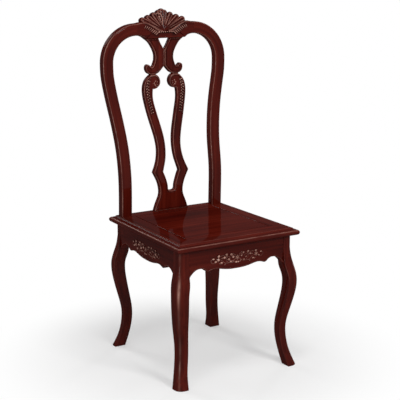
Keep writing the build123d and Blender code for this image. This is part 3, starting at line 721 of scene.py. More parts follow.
def makeRail(name, node, start, finish, width, innerStart, innerFinish, grain):
    section = railSection(width)
    rings = []
    for outer, inner in ((start, innerStart), (finish, innerFinish)):
        outer, inner = np.array(outer, float), np.array(inner, float)
        for u, v in section:
            place = outer + (inner - outer) * u / width
            rings.append((place[0] * mm, place[1] * mm, (seat["height"] + v) * mm))
    count = len(section)
    nosePoint, covePoint, arrisPoint = 15, 21, count - 6  # where these lie along the section
    # painted highlight on the nose and the arris, painted shade in the cove
    highlightAndShade = paintedCornerLines([nosePoint], *seat["noseHighlight"], count) + paintedCornerLines([arrisPoint], *seat["arrisHighlight"], count)
    highlightAndShade -= paintedCornerLines([covePoint], *seat["coveShade"], count)
    makePiece(name, rings, ringFaces(2, count), lacquer, [node], sharp=32, grain=grain, paintedLight=np.tile(highlightAndShade, 2))


innerFront = seatFront + seat["frontRail"]
innerBack = seatBack - seat["backRail"]
outerAt = {("front", s): (sides[s] * seat["frontWidth"] / 2, seatFront) for s in sides}
outerAt |= {("rear", s): (sides[s] * seat["backWidth"] / 2, seatBack) for s in sides}
innerAt = {("front", s): (sides[s] * railInner(innerFront), innerFront) for s in sides}
innerAt |= {("rear", s): (sides[s] * railInner(innerBack), innerBack) for s in sides}
for node, a, b, width, grain in (
    ("front_rail", ("front", "left"), ("front", "right"), seat["frontRail"], "x"),
    ("back_rail", ("rear", "right"), ("rear", "left"), seat["backRail"], "x"),
    ("left_rail", ("rear", "left"), ("front", "left"), seat["sideRail"], "y"),
    ("right_rail", ("front", "right"), ("rear", "right"), seat["sideRail"], "y"),
):
    makeRail(node.split("_")[0] + "Rail", node, outerAt[a], outerAt[b], width, innerAt[a], innerAt[b], grain)


def makePanel():
    def outline(grow):
        front, back = innerFront - grow, innerBack + grow
        fx, bx = railInner(front) + grow * slant, railInner(back) + grow * slant
        return [(-fx, front), (fx, front), (bx, back), (-bx, back)]

    soft, reveal = seat["softEdge"], seat["reveal"]
    points = []
    for grow, level in ((-reveal, -seat["panelThickness"]), (-reveal, -soft), (-reveal - soft, 0)):
        points += [(x * mm, y * mm, (seat["height"] + level) * mm) for x, y in outline(grow)]
    makePiece("seatPanel", points, ringFaces(3, 4), lacquer, ["seat_panel"], sharp=30, grain="x")


makePanel()
print("seat made")


# Back frame: stiles and shoulders
back = {
    "setback": 43.0,
    "rake": 42.0,
    "height": 490.0,
    "waist": 340.6,
    "spread": 416.0,
    "width": 38.4,
    "depth": 27.4,
    "frontRadius": 7.6,
    "backRadius": 4.0,
    "shoulderRadius": 102.5,
    "leanShares": [
        (0.0, 0.05, 0.0),
        (0.143, 0.0, 0.0),
        (0.265, 0.024, 0.01),
        (0.347, 0.143, 0.015),
        (0.449, 0.357, 0.05),
        (0.551, 0.571, 0.175),
        (0.653, 0.762, 0.363),
        (0.755, 0.905, 0.6),
        (0.857, 0.976, 0.845),
        (0.929, 0.995, 0.975),
        (1.0, 1.0, 1.0),
    ],
    "levels": 110,
    "shoulderSteps": 40,
    "cornerSteps": [6, 11, 11, 6],
    # strength of a painted highlight line along each front corner
    "highlightAndShade": 0.37,
    "highlightPoints": 0.9,  # width of the painted highlight line, in points
    "highlightInset": 2.2,
    "highlightWidth": 0.8,
    "grainOffset": 300,  # keeps the two uprights' grain apart
}
stileBase = seatBack - back["setback"]
stileTop = stileBase + back["rake"]
shoulderZ = seat["height"] + back["height"]
archX = back["spread"] / 2 - back["shoulderRadius"]
archTop = shoulderZ + back["shoulderRadius"] + back["width"] / 2
archBottom = archTop - back["width"]
leanKnots = np.array(back["leanShares"])
leanSlopes = cubicSlopes(leanKnots[:, 0], leanKnots[:, 1:], end=np.zeros(2))


def stileAt(z):  # centre of the right stile at a height
    share = np.clip((np.atleast_1d(z) - seat["height"]) / back["height"], 0, 1)
    lean, grow = cubicAt(leanKnots[:, 0], leanKnots[:, 1:], leanSlopes, share).T
    return back["waist"] / 2 + grow * (back["spread"] - back["waist"]) / 2, stileBase + lean * back["rake"]


def makeUpright(sideName):
    side = sides[sideName]
    w, d = back["width"] / 2, back["depth"] / 2
    radii = [back["backRadius"], back["frontRadius"], back["frontRadius"], back["backRadius"]]
    steps = back["cornerSteps"]
    section = roundCorners([(-w, d), (-w, -d), (w, -d), (w, d)], radii, steps)
    count, apart = len(section), side * back["grainOffset"]
    points, grain = [], []
    heights = np.linspace(seat["height"], shoulderZ, back["levels"])
    for x, y, z in zip(*stileAt(heights), heights):
        points += [(side * (x + u) * mm, (y + v) * mm, z * mm) for u, v in section]
        grain += [((apart + u) * mm, v * mm, z * mm) for u, v in section]
    for angle in np.linspace(0, math.pi / 2, back["shoulderSteps"])[1:]:
        run = shoulderZ + angle * back["shoulderRadius"]
        for u, v in section:
            radius = back["shoulderRadius"] + u
            x, z = archX + radius * math.cos(angle), shoulderZ + radius * math.sin(angle)
            points.append((side * x * mm, (stileTop + v) * mm, z * mm))
            grain.append(((apart + u) * mm, v * mm, run * mm))
    rings = len(points) // count
    frontCorners = [sum(steps[:2]) - steps[1] // 2 - 1, sum(steps[:3]) - steps[2] // 2 - 1]
    # painted highlight lines along the two front corners
    highlightAndShade = paintedCornerLines(frontCorners, back["highlightPoints"], back["highlightAndShade"], count)
    makePiece(f"{sideName}Upright", points, ringFaces(rings, count), lacquer,
              [f"{sideName}_stile", f"{sideName}_shoulder"], grain=np.array(grain), paintedLight=np.tile(highlightAndShade, rings))


for sideName in sides:
    makeUpright(sideName)
print("uprights made")


# Crest rail
crest = {
    "bridgeDrop": 49.2,
    "bridgeReach": 72.5,
    "hornShares": [
        (1.0, 1.0),
        (0.87, 1.045),
        (0.75, 1.05),
        (0.65, 1.015),
        (0.54, 0.925),
        (0.41, 0.765),
        (0.28, 0.605),
        (0.17, 0.505),
        (0.08, 0.478),
        (0.0, 0.477),
    ],
    "haunchShares": [(0.725, 0.06), (0.81, 0.155), (0.89, 0.2)],
    "bandTop": 17.5,
    "bandSink": 3.0,
    "bandSoft": 2.2,
    "leafLine": (4.6, 0.8, 0.9),  # place, width and depth of a line, or of painted shade
    "leafLineShade": (4.8, 0.9, 0.8),
    "leafShade": (13.5, 7.0, 0.75),
    "beadShade": (20.0, 3.2, 0.7),
    "ledgeShade": (16.0, 1.0, 0.8),
    "spacing": 1.1,
    "rings": [0.4, 0.9, 1.5, 2.2, 3.0, 3.9, 4.9, 6.1, 7.5],
    "leafStart": 26.0,
    "leafEnd": 74.0,
    "leafInset": 13.5,
    "gouge": {"Spacing": 6.4, "Length": 2.5, "Width": 9.0, "Height": 2.8},
    "gougeTurn": 0.35,
    "rim": {"Radius": 3.0, "Step": 1.5},
    "beadZ": 20.0,
    "beadReach": 25.0,
    "bead": {"Spacing": 6.4, "Length": 2.7, "Width": 2.7, "Height": 2.8},
}
bridgeZ = archTop - crest["bridgeDrop"]
crestRise = archTop - bridgeZ
crestTopLine = smoothLine(scaled(crest["hornShares"], archX, crestRise, bridgeZ), crest["spacing"], (-1, 0), (-1, 0))
haunch = [(crest["bridgeReach"], bridgeZ)] + scaled(crest["haunchShares"], archX, crestRise, bridgeZ)
crestUnderLine = smoothLine(haunch + [(archX, archBottom)], crest["spacing"], end=(1, 0))
topX, topZ = crestTopLine[::-1].T
topSlope = np.gradient(topZ, topX)


def crestOutline():
    flat = straightLine((0, bridgeZ), (crest["bridgeReach"], bridgeZ), crest["spacing"])
    end = straightLine((archX, archBottom), (archX, archTop), crest["spacing"])
    return mirrored(chain(flat, crestUnderLine, end, crestTopLine))


def crestGaps(points):  # distance from the middle, height, depth under the top line, height over the under line
    x, z = np.abs(points[:, 0]), points[:, 1]
    underTop = np.maximum(np.interp(x, topX, topZ) - z, 0) * np.cos(np.arctan(np.interp(x, topX, topSlope)))
    overUnder = np.maximum(z - np.interp(x, crestUnderLine[:, 0], crestUnderLine[:, 1], left=bridgeZ), 0)
    return x, z, underTop, overUnder


def crestFront(points, distance):
    x, z, underTop, overUnder = crestGaps(points)
    radius, reach = back["frontRadius"], crest["bridgeReach"]
    soft = np.interp(x, [reach - 4, reach + 12], [1.5, radius])
    drop = roundOver(underTop, radius) + roundOver(overUnder / soft, 1.0) * soft
    wing = reach + 4 - (z - bridgeZ) * 1.3
    band = smoothStep(crest["bandTop"] + 1 - (z - bridgeZ), 0, crest["bandSoft"]) * smoothStep(wing - x, 0, 5)
    leafLine = groove(underTop, *crest["leafLine"]) * smoothStep(x, 18, 30) * smoothStep(82 - x, 0, 10)
    return back["depth"] - np.minimum(drop, radius * 1.2) - band * crest["bandSink"] - leafLine


# painted highlight lines along the edges, painted shade in the leaf lines, along the beads and under the ledge
def crestPaintedLight(points, distance):
    x, z, underTop, overUnder = crestGaps(points)
    line = back["highlightInset"], back["highlightWidth"], back["highlightAndShade"]
    edge = groove(underTop, *line) + groove(overUnder, *line) * smoothStep(x, 70, 84)
    leaf = smoothStep(x, 20, 30) * smoothStep(82 - x, 0, 10)
    hollow = leaf * (groove(underTop, *crest["leafLineShade"]) + groove(underTop, *crest["leafShade"]))
    bead = groove(z - bridgeZ, *crest["beadShade"]) * smoothStep(30 - x, 0, 4)
    ledge = groove(z - bridgeZ, *crest["ledgeShade"]) * smoothStep(60 - x, 0, 6)
    return edge - np.maximum(np.maximum(hollow, bead), ledge)


def uprightPlace(y):  # a point over an upright rear face at y
    return lambda x, z, h: np.stack([x * mm, (y - h) * mm, z * mm], axis=1)


def crestBack(points, distance):
    return np.where(np.abs(points[:, 0]) > archX - 0.01, 0, roundOver(distance, 1.5))


points, faces, paintedLight = carveBoard(crestOutline(), crestFront, uprightPlace(stileTop + back["depth"] / 2), crest["rings"],
                                crest["spacing"], crestBack, [0.5, 1.5], crestPaintedLight)
makePiece("crestRail", points, faces, lacquer, ["crest_rail"], grain="x", paintedLight=paintedLight)


def carveCrest():
    onFront = uprightPlace(stileTop - back["depth"] / 2)
    normal = np.stack([topSlope, -np.ones(len(topX))], axis=1) / np.hypot(topSlope, 1)[:, None]
    line = np.stack([topX, topZ], axis=1)
    spine = (line + normal * crest["leafInset"])[(topX > crest["leafStart"]) & (topX < crest["leafEnd"])]
    rim = (line + normal * 1.5)[(topX > 9) & (topX < 84)][::-1]
    for sideName, side in sides.items():
        leaf = onFront(spine[:, 0] * side, spine[:, 1], np.zeros(len(spine)))
        gouge = inMetres(crest["gouge"], Thin=0.35, Turn=side * crest["gougeTurn"])
        growAlong(f"{sideName}HornGouges", petals, [leaf], gouge, grain="x", paintedLight=0.5)
        rimLine = onFront(rim[:, 0] * side, rim[:, 1], np.full(len(rim), -3.5))
        growAlong(f"{sideName}HornRim", stems, [rimLine], inMetres(crest["rim"], Thin=-0.25), grain="x", paintedLight=0.25)
    reach = crest["beadReach"]
    row = onFront(np.array([-reach, reach]), np.full(2, bridgeZ + crest["beadZ"]), np.zeros(2))
    growAlong("crestBeads", petals, [row], inMetres(crest["bead"]))


carveCrest()
print("crest rail made")


# Shell: ribs fanned out over a web that leans back
shell = {
    "halfWidth": 83.5,
    "height": 72.7,
    "tip": 12.2,
    "front": 5.0,
    "back": 6.0,
    "lean": 19.5,
    "ribShares": [(0.0, 0.832, 1.0), (0.126, 0.79, 0.905), (0.365, 0.681, 0.93), (0.623, 0.568, 0.94),
                  (0.874, 0.476, 0.905)],
    "rootShare": 0.36,
    "flute": (0.28, 1.6),  # width as a share of the rib's, and depth
    "highlightAndShade": (0.5, 0.13, 0.38),  # painted highlight: place across the rib, width and strength
    # painted shade down the flutes and in the valleys between the ribs
    "fluteShade": (0, 0.16, 0.8),
    "valleyShade": 0.9,
    "curlKnots": [(-27, 50), (-20, 55), (-10, 53), (-4, 43), (-4, 30), (-8, 16)],
    "curlLift": 8.0,
    "curl": {"Radius": 3.4, "Step": 1.2},
    "curlBud": (-15, 43, 4.6),
    "spacing": 0.9,
    "rings": [0.3, 0.8, 1.4, 2.1],
}
shellBase = bridgeZ + crest["hornShares"][-1][1] * crestRise
ribs = []
for across, up, size in shell["ribShares"]:
    for side in ((1,) if across == 0 else (1, -1)):
        ribs.append((side * across * shell["halfWidth"], up * shell["height"], size * shell["tip"]))


def shellOutline():
    def reachAt(angle):
        way = (math.sin(angle), math.cos(angle))
        best = 0
        for x, z, r in ribs:
            along = x * way[0] + z * way[1]
            miss = abs(x * way[1] - z * way[0])
            if miss < r and along > 0:
                best = max(best, along + math.sqrt(r * r - miss * miss))
        return best

    x, z, r = max(ribs)
    widest = math.atan2(x, z) + math.asin(r / math.hypot(x, z)) - 0.004
    half = [(0, -4)]
    for angle in np.linspace(widest, 0, 150):
        reach = reachAt(angle)
        half.append((reach * math.sin(angle), reach * math.cos(angle)))
    return mirrored(np.array(half))


def shellRibs(points):  # height of the ribs, and their painted highlight and shade
    x, z = points[:, 0], points[:, 1]
    fluteWidth, fluteDepth = shell["flute"]
    valley = shell["valleyShade"]
    ridge, highlightAndShade = np.zeros(len(points)), np.full(len(points), -valley)
    for ribX, ribZ, r in ribs:
        length = math.hypot(ribX, ribZ)
        along = (x * ribX + z * ribZ) / length
        aside = (x * ribZ - z * ribX) / length
        share = np.clip(along / length, 0, 1)
        local = r * (shell["rootShare"] + (1 - shell["rootShare"]) * share)
        beyond = np.maximum(along - length, 0)
        body = np.sqrt(np.maximum(local**2 - aside**2 - beyond**2, 0))
        flute = groove(aside / local, 0, fluteWidth, fluteDepth) * smoothStep(share, 0.25, 0.6) * (beyond < r * 0.4)
        across = np.hypot(aside, beyond) / local
        shoulder = groove(across, *shell["highlightAndShade"]) - groove(across, *shell["fluteShade"])
        shoulder -= smoothStep(across, 0.72, 0.95) * valley
        highlightAndShade = np.where(body - flute > ridge, shoulder * smoothStep(share, 0.2, 0.45), highlightAndShade)
        ridge = np.maximum(ridge, body - flute)
    return ridge, highlightAndShade


def shellFront(points, distance):
    return shell["back"] + np.maximum(shellRibs(points)[0], shell["front"] * smoothStep(distance, 0, 2.5) * 0.8)


def shellPlace(x, z, h):  # h over the flat back, which leans
    lean = math.radians(shell["lean"])
    y = stileTop + z * math.sin(lean) + (shell["back"] - h) * math.cos(lean)
    up = shellBase + z * math.cos(lean) - (shell["back"] - h) * math.sin(lean)
    return np.stack([x * mm, y * mm, up * mm], axis=1)


# painted highlight on the rib shoulders, painted shade in the flutes and valleys
def shellPaintedLight(points, distance):
    return shellRibs(points)[1] * smoothStep(distance, 0.2, 1.5)


def carveShell():
    lift = shell["back"] + shell["curlLift"]
    curl = smoothLine(shell["curlKnots"], 1.2)
    line = shellPlace(curl[:, 0], curl[:, 1], np.full(len(curl), lift))
    growAlong("shellCurl", stems, [line], inMetres(shell["curl"], Thin=0.5), paintedLight=0.6)
    budX, budUp, size = shell["curlBud"]
    spot = shellPlace(np.array([budX, budX + 1.0]), np.full(2, budUp), np.full(2, lift))
    bud = {"Spacing": oneOnly, "Length": size, "Width": size, "Height": size}
    growAlong("shellBud", petals, [spot], inMetres(bud), paintedLight=0.6)


points, faces, paintedLight = carveBoard(shellOutline(), shellFront, shellPlace, shell["rings"], shell["spacing"],
                                paintedLightOf=shellPaintedLight)
makePiece("shellCrest", points, faces, lacquer, ["shell_crest"], grain="x", sharp=50, paintedLight=paintedLight)
carveShell()
print("shell made")


# Splat
splat = {
    "thickness": 17.0,
    "halfWidth": 78.8,
    "height": 446.0,
    "neckGap": 32.0,
    "neckWidth": 19.0,
    "notchShare": 0.148,
    "footShares": [(0.81, 0.0), (0.75, 0.036), (0.65, 0.08), (0.575, 0.113), (0.55, 0.138), (0.575, 0.183),
                   (0.64, 0.222), (0.73, 0.256), (0.838, 0.293)],
    "barShares": [(0.838, 0.293), (0.735, 0.331), (0.635, 0.378), (0.575, 0.43), (0.56, 0.468), (0.583, 0.52),
                  (0.66, 0.587), (0.752, 0.65), (0.85, 0.72), (0.93, 0.785), (0.982, 0.838), (1.0, 0.88),
                  (0.975, 0.923), (0.89, 0.96)],
    "innerFootShares": [(0.14, 0.156), (0.165, 0.178), (0.22, 0.222), (0.288, 0.258), (0.374, 0.293)],
    "innerBarShares": [(0.374, 0.293), (0.312, 0.331), (0.235, 0.378), (0.19, 0.43), (0.178, 0.48), (0.2, 0.535),
                       (0.268, 0.602), (0.365, 0.67), (0.465, 0.74), (0.54, 0.795), (0.573, 0.85), (0.552, 0.894)],
    "voluteShares": [(0.552, 0.894), (0.2, 0.946)],
    "huskShares": [(0.76, 0.955), (0.82, 0.91), (0.795, 0.85), (0.74, 0.79), (0.655, 0.725)],
    "huskGap": 3.2,
    "husk": {"Spacing": 8.6, "Length": 3.6, "Width": 2.0, "Height": 2.2},
    "huskTurn": 0.55,
    "huskShade": (7.5, 3.0, 0.6),  # reach, fade and strength of the painted shade round the husks
    "rosette": (0.43, 0.937, 6.6),
    "petal": {"Spacing": 7.0, "Length": 2.0, "Width": 2.8, "Height": 1.9},
    "spiralShares": [(0.72, 0.985), (0.42, 0.99), (0.24, 0.945), (0.36, 0.912), (0.5, 0.93), (0.42, 0.955)],
    "spiral": {"Radius": 2.2, "Step": 1.2},
    "roundOver": 5.5,
    "edgeLine": (7.0, 0.7, 1.2),
    # painted highlight line near the edge, and painted shade in the cut line beside it
    "highlightAndShade": (2.2, 0.6, 0.4),
    "hollow": (6.9, 0.8, 0.75),
    "spacing": 1.5,
    "rings": [0.4, 0.9, 1.5, 2.2, 3.0, 4.0, 5.2, 6.0, 6.7, 7.4, 8.2],
}
neckZ = seat["height"] + splat["height"]


def onSplat(shares):
    return scaled(shares, splat["halfWidth"], splat["height"], seat["height"])


def splatOutline():
    step = splat["spacing"]
    volute = onSplat(splat["voluteShares"])
    neckIn, neckOut = (splat["neckGap"], neckZ), (splat["neckGap"] + splat["neckWidth"], neckZ)
    notch = (0, seat["height"] + splat["notchShare"] * splat["height"])
    foot = onSplat(splat["footShares"])
    half = chain(
        straightLine((0, seat["height"]), foot[0], step),
        smoothLine(foot, step),
        smoothLine(onSplat(splat["barShares"]) + [neckOut], step),
        straightLine(neckOut, neckIn, step),
        arcThrough(neckIn, volute[1], volute[0], step),
        smoothLine(onSplat(splat["innerBarShares"][::-1]), step),
        smoothLine(onSplat(splat["innerFootShares"][::-1]) + [notch], step, end=(-1, 0)),
    )
    return mirrored(half)


def rakedPlace(x, z, h):  # a point over the back's raked rear face
    y = stileAt(z)[1] + back["depth"] / 2
    return np.stack([x * mm, (y - h) * mm, z * mm], axis=1)


def splatFront(points, distance):
    edge = np.where(points[:, 1] < seat["height"] + 0.1, 20, distance)
    return splat["thickness"] - roundOver(edge, splat["roundOver"]) * 0.8 - groove(edge, *splat["edgeLine"])


# painted highlight along the edges, painted shade round the husks and in the cut line
def splatPaintedLight(points, distance):
    husks = smoothLine(onSplat(splat["huskShares"]), 3.0)
    near = np.min(np.hypot(np.abs(points[:, :1]) - husks[:, 0], points[:, 1:] - husks[:, 1]), axis=1)
    reach, fade, strength = splat["huskShade"]
    edge = paintedEdgeLines(splat["highlightAndShade"], splat["hollow"])(points, distance) * (near > reach - 1)
    return edge - strength * smoothStep(reach - near, 0, fade)


def softBack(points, distance):
    return roundOver(distance, 1.0)


points, faces, paintedLight = carveBoard(splatOutline(), splatFront, rakedPlace, splat["rings"], splat["spacing"], softBack,
                                [0.4, 1.0], splatPaintedLight)
makePiece("splat", points, faces, lacquer, ["splat"], paintedLight=paintedLight)


def carveSplat():
    husks = smoothLine(onSplat(splat["huskShares"]), 2.0)
    spiral = smoothLine(onSplat(splat["spiralShares"]), 1.2)
    face = splat["thickness"]
    slope = np.gradient(husks, axis=0)
    aside = np.stack([-slope[:, 1], slope[:, 0]], axis=1) / np.linalg.norm(slope, axis=1)[:, None] * splat["huskGap"]
    share, level, radius = splat["rosette"]
    (middleX, middleZ), = onSplat([(share, level)])
    angles = np.linspace(0, 2 * math.pi, 40)
    ringX, ringZ = middleX + radius * np.cos(angles), middleZ + radius * np.sin(angles)
    turn = splat["huskTurn"]
    for sideName, side in sides.items():
        for rowName, row, lean in (("BarHusks", husks + aside, turn), ("BarLeaves", husks - aside, -turn)):
            path = rakedPlace(row[:, 0] * side, row[:, 1], np.full(len(row), face - 0.6))
            growAlong(sideName + rowName, petals, [path], inMetres(splat["husk"], Thin=0.3, Turn=lean * side), paintedLight=0.8)
        ring = rakedPlace(ringX * side, ringZ, np.full(len(angles), face - 0.4))
        growAlong(f"{sideName}Rosette", petals, [ring], inMetres(splat["petal"]), paintedLight=0.55)
        curl = rakedPlace(spiral[:, 0] * side, spiral[:, 1], np.full(len(spiral), face - 1.0))
        growAlong(f"{sideName}Volute", stems, [curl], inMetres(splat["spiral"], Thin=0.2), paintedLight=0.3)


carveSplat()
print("splat made")


# Scrolls
scroll = {
    "reach": 68.8,
    "topGap": 21.0,
    "hookShares": [(0.84, 0.024), (0.935, 0.072), (0.99, 0.14), (0.995, 0.21), (0.95, 0.265), (0.87, 0.283),
                   (0.79, 0.262), (0.735, 0.222)],
    "hollowShares": [(0.735, 0.222), (0.68, 0.208), (0.62, 0.232), (0.56, 0.3), (0.51, 0.39), (0.496, 0.475),
                     (0.515, 0.575), (0.58, 0.675), (0.685, 0.787), (0.815, 0.89)],
    "innerTopShares": [(0.22, 0.89), (0.125, 0.787)],
    "innerFootShares": [(0.095, 0.17), (0.2, 0.1), (0.32, 0.04)],
    "touchShares": (0.675, 0.24),
    "roundOver": 5.0,
    "edgeLine": (6.4, 0.7, 1.2),
    # painted shade in the cut line along the edge
    "hollow": (6.4, 0.8, 0.75),
    "spacing": 1.2,
    "rings": [0.4, 0.9, 1.5, 2.2, 3.0, 4.0, 5.2, 6.0, 6.7, 7.4],
}
scrollHeight = bridgeZ - neckZ


def scrollOutline(side):
    step = scroll["spacing"]
    on = lambda shares: scaled(shares, scroll["reach"], scrollHeight, neckZ)
    neckIn, neckOut = (splat["neckGap"], neckZ), (splat["neckGap"] + splat["neckWidth"], neckZ)
    topIn, topOut = (scroll["topGap"], bridgeZ), (crest["bridgeReach"], bridgeZ)
    touchTop, touchFoot = ((0, neckZ + s * scrollHeight) for s in scroll["touchShares"])
    loop = chain(
        smoothLine([neckOut] + on(scroll["hookShares"]), step),
        smoothLine(on(scroll["hollowShares"]) + [topOut], step),
        straightLine(topOut, topIn, step),
        smoothLine([topIn] + on(scroll["innerTopShares"]) + [touchTop], step),
        straightLine(touchTop, touchFoot, step),
        smoothLine([touchFoot] + on(scroll["innerFootShares"]) + [neckIn], step),
        straightLine(neckIn, neckOut, step),
    )[:-1]
    return loop * (side, 1)


def scrollFront(points, distance):
    edge = np.where(points[:, 1] > bridgeZ - 0.1, 20, distance)
    return splat["thickness"] - roundOver(edge, scroll["roundOver"]) * 0.8 - groove(edge, *scroll["edgeLine"])


for sideName, side in sides.items():
    points, faces, paintedLight = carveBoard(scrollOutline(side), scrollFront, rakedPlace, scroll["rings"], scroll["spacing"],
                                    softBack, [0.4, 1.0], paintedEdgeLines(splat["highlightAndShade"], scroll["hollow"]))
    makePiece(f"{sideName}Scroll", points, faces, lacquer, [f"{sideName}_scroll"], paintedLight=paintedLight)
print("scrolls made")


# Aprons
apron = {
    "thickness": 20.0,
    "depth": 78.0,
    "setback": 2.5,
    "bellyShares": [(0.0, 1.0), (0.15, 0.99), (0.3, 0.94), (0.42, 0.89), (0.5, 0.895), (0.56, 0.93)],
    "dropShares": [(0.56, 0.93), (0.6, 0.95), (0.635, 0.925)],
    "archShares": [(0.635, 0.925), (0.67, 0.86), (0.715, 0.805), (0.775, 0.785), (0.84, 0.81), (0.9, 0.885),
                   (0.955, 1.0), (1.0, 1.13)],
    "spacing": 1.6,
    "rings": [0.5, 1.1, 1.9, 2.8, 4.0],
    "edgeRound": 1.6,
    "beadInset": 2.6,
    "bead": {"Radius": 1.5, "Step": 2.0},
}
apronTop = legs["height"]


def apronLower(span):  # the right half of the lower edge, from the middle to the leg
    step = apron["spacing"]
    on = lambda shares: [(x * span, apronTop - z * apron["depth"]) for x, z in shares]
    return chain(
        smoothLine(on(apron["bellyShares"]), step, start=(1, 0)),
        arcThrough(*on(apron["dropShares"]), step),
        smoothLine(on(apron["archShares"]), step),
    )


def apronOutline(span):
    step = apron["spacing"]
    lower = apronLower(span)
    end = straightLine(lower[-1], (span, apronTop), step)
    return mirrored(chain(lower, end, straightLine((span, apronTop), (0, apronTop), step)))


def apronFront(span):
    def front(points, distance):
        under = (points[:, 1] < apronTop - 1) & (np.abs(points[:, 0]) < span - 1)
        return apron["thickness"] - np.where(under, roundOver(distance, apron["edgeRound"]), 0)

    return front


def crossSpan(end):
    return legs["spread"][end] / 2 - legs["post"]


def crossPlace(end):  # front and back aprons
    face = postY[end] - ends[end] * apron["setback"]
    out = ends[end]

    def place(u, z, h):
        return np.stack([-out * u * mm, (face - out * (apron["thickness"] - h)) * mm, z * mm], axis=1)

    return place


sideSpan = legs["depth"] / 2 - legs["post"]
middleY = (postY["front"] + postY["rear"]) / 2


def sidePlace(side):  # side aprons, which close in towards the back
    front, rear = (legs["spread"][e] / 2 for e in ("front", "rear"))
    lean = (rear - front) / legs["depth"]

    def place(u, z, h):
        y = middleY + side * u
        x = front + lean * (y - postY["front"]) - apron["setback"] - apron["thickness"] + h
        return np.stack([side * x * mm, y * mm, z * mm], axis=1)

    return place


# The aprons' carving: flowers on a scrolling stem, with buds and leaves, for the right half.
# Places are in millimetres from the middle of the carving.
vine = {
    "middleZ": 384.0,
    "flowers": [(0, 0, 1.0), (68, 1, 0.85)],
    "stemKnots": [
        [(8, -3), (17, -11), (29, -13), (38, -6), (37, 4), (29, 6), (25, 1)],
        [(30, -13), (44, -12), (54, -4), (60, 0)],
        [(38, -3), (43, 7), (52, 12), (60, 10)],
        [(76, -3), (84, -8), (92, -4), (93, 4), (87, 5)],
        [(6, 7), (14, 13), (24, 14)],
    ],
    "buds": [(67, 12), (31, -2), (22, 12), (57, -10), (47, 5), (78, -4), (39, 14), (4, -14), (86, 6), (15, 3),
             (24, -10)],
    "leaves": [(12, -12, -1.8), (44, -16, -0.6), (37, 9, 2.3), (54, 4, -0.3), (63, -12, 3.9), (17, 7, -0.6)],
    "petalReach": 4.8,
    "petalCount": 6,
    "stem": {"Radius": 1.7, "Step": 1.2},
    "petal": {"Spacing": oneOnly, "Length": 3.6, "Width": 2.3, "Height": 2.2},
    "leaf": {"Spacing": oneOnly, "Length": 4.6, "Width": 1.9, "Height": 1.7},
    "bud": {"Spacing": oneOnly, "Length": 5.72, "Width": 4.4, "Height": 3.52},
}


def carveApron(name, place, facing, grain, span):
    face = apron["thickness"]

    def lift(x, z, h):
        return place(np.array(x, float), vine["middleZ"] + np.array(z, float), np.full(len(x), face + h))

    def pointing(x, z, angle, h):  # a short line whose start is the place and whose run is the direction
        return lift([x, x + math.cos(angle)], [z, z + math.sin(angle)], h)

    stemLines, leafLines, budLines, petalLines = [], [], [], []
    for mirror in (-1, 1):
        for knots in vine["stemKnots"]:
            run = smoothLine(knots, 1.2)
            stemLines.append(lift(run[:, 0] * mirror, run[:, 1], -0.2))
        for x, z, angle in vine["leaves"]:
            leafLines.append(pointing(x * mirror, z, angle if mirror > 0 else math.pi - angle, 0.0))
        for x, z in vine["buds"]:
            budLines.append(pointing(x * mirror, z, 0, 0.3))
        for x, z, size in vine["flowers"][0 if mirror > 0 else 1 :]:
            reach = size * vine["petalReach"]
            for k in range(vine["petalCount"]):
                angle = k * 2 * math.pi / vine["petalCount"] + 0.5
                across, up = x * mirror + reach * math.cos(angle), z + reach * math.sin(angle)
                petalLines.append(pointing(across, up, angle, 0.2))
            budLines.append(pointing(x * mirror, z, 0, 1.2))
    # the last value in each row is the strength of the painted highlight
    for part, tree, lines, sizes, paintedLight in (
        ("Stems", stems, stemLines, inMetres(vine["stem"], Thin=0.45), 0.25),
        ("Petals", petals, petalLines, inMetres(vine["petal"]), 0.5),
        ("Leaves", petals, leafLines, inMetres(vine["leaf"]), 0.4),
        ("Buds", petals, budLines, inMetres(vine["bud"], Thin=0.45), 0.95),
    ):
        growAlong(name + part, tree, lines, sizes, facing, grain, paintedLight)
    lower = apronLower(span)
    edge = np.concatenate([lower[::-1] * (-1, 1), lower[1:]])
    slope = np.gradient(edge, axis=0)
    normal = np.stack([-slope[:, 1], slope[:, 0]], axis=1) / np.linalg.norm(slope, axis=1)[:, None]
    bead = edge + normal * apron["beadInset"]
    line = place(bead[:, 0], bead[:, 1], np.full(len(bead), face - 0.7))
    growAlong(name + "EdgeBead", stems, [line], inMetres(apron["bead"], Thin=0.0), facing, grain, 0.12)


def makeApron(name, node, span, place, grain):
    rows = apron["rings"], apron["spacing"] * 1.5
    points, faces = carveBoard(apronOutline(span), apronFront(span), place, *rows)[:2]
    makePiece(name, points, faces, lacquer, [node], grain=grain)


for end, name in (("front", "front"), ("rear", "back")):
    makeApron(f"{name}Apron", f"{name}_apron", crossSpan(end), crossPlace(end), "x")
carveApron("frontApron", crossPlace("front"), (0, -1, 0), "x", crossSpan("front"))
for sideName, side in sides.items():
    makeApron(f"{sideName}Apron", f"{sideName}_apron", sideSpan, sidePlace(side), "y")
    carveApron(f"{sideName}Apron", sidePlace(side), (side, 0, 0), "y", sideSpan)
print("aprons made")


# Kept nodes: blocks, battens, keys, dowels and screws
finishes = {"polished_hardwood": lacquer, "plain_hardwood": plainWood, "screw_steel": screwSteel}
slotOf = {part["node"]: part["material_slot"] for part in frame["record"]["subparts"]}
for node, item in frame["nodes"].items():
    for slot in item.material_slots:
        slot.material = finishes[slotOf[node]]


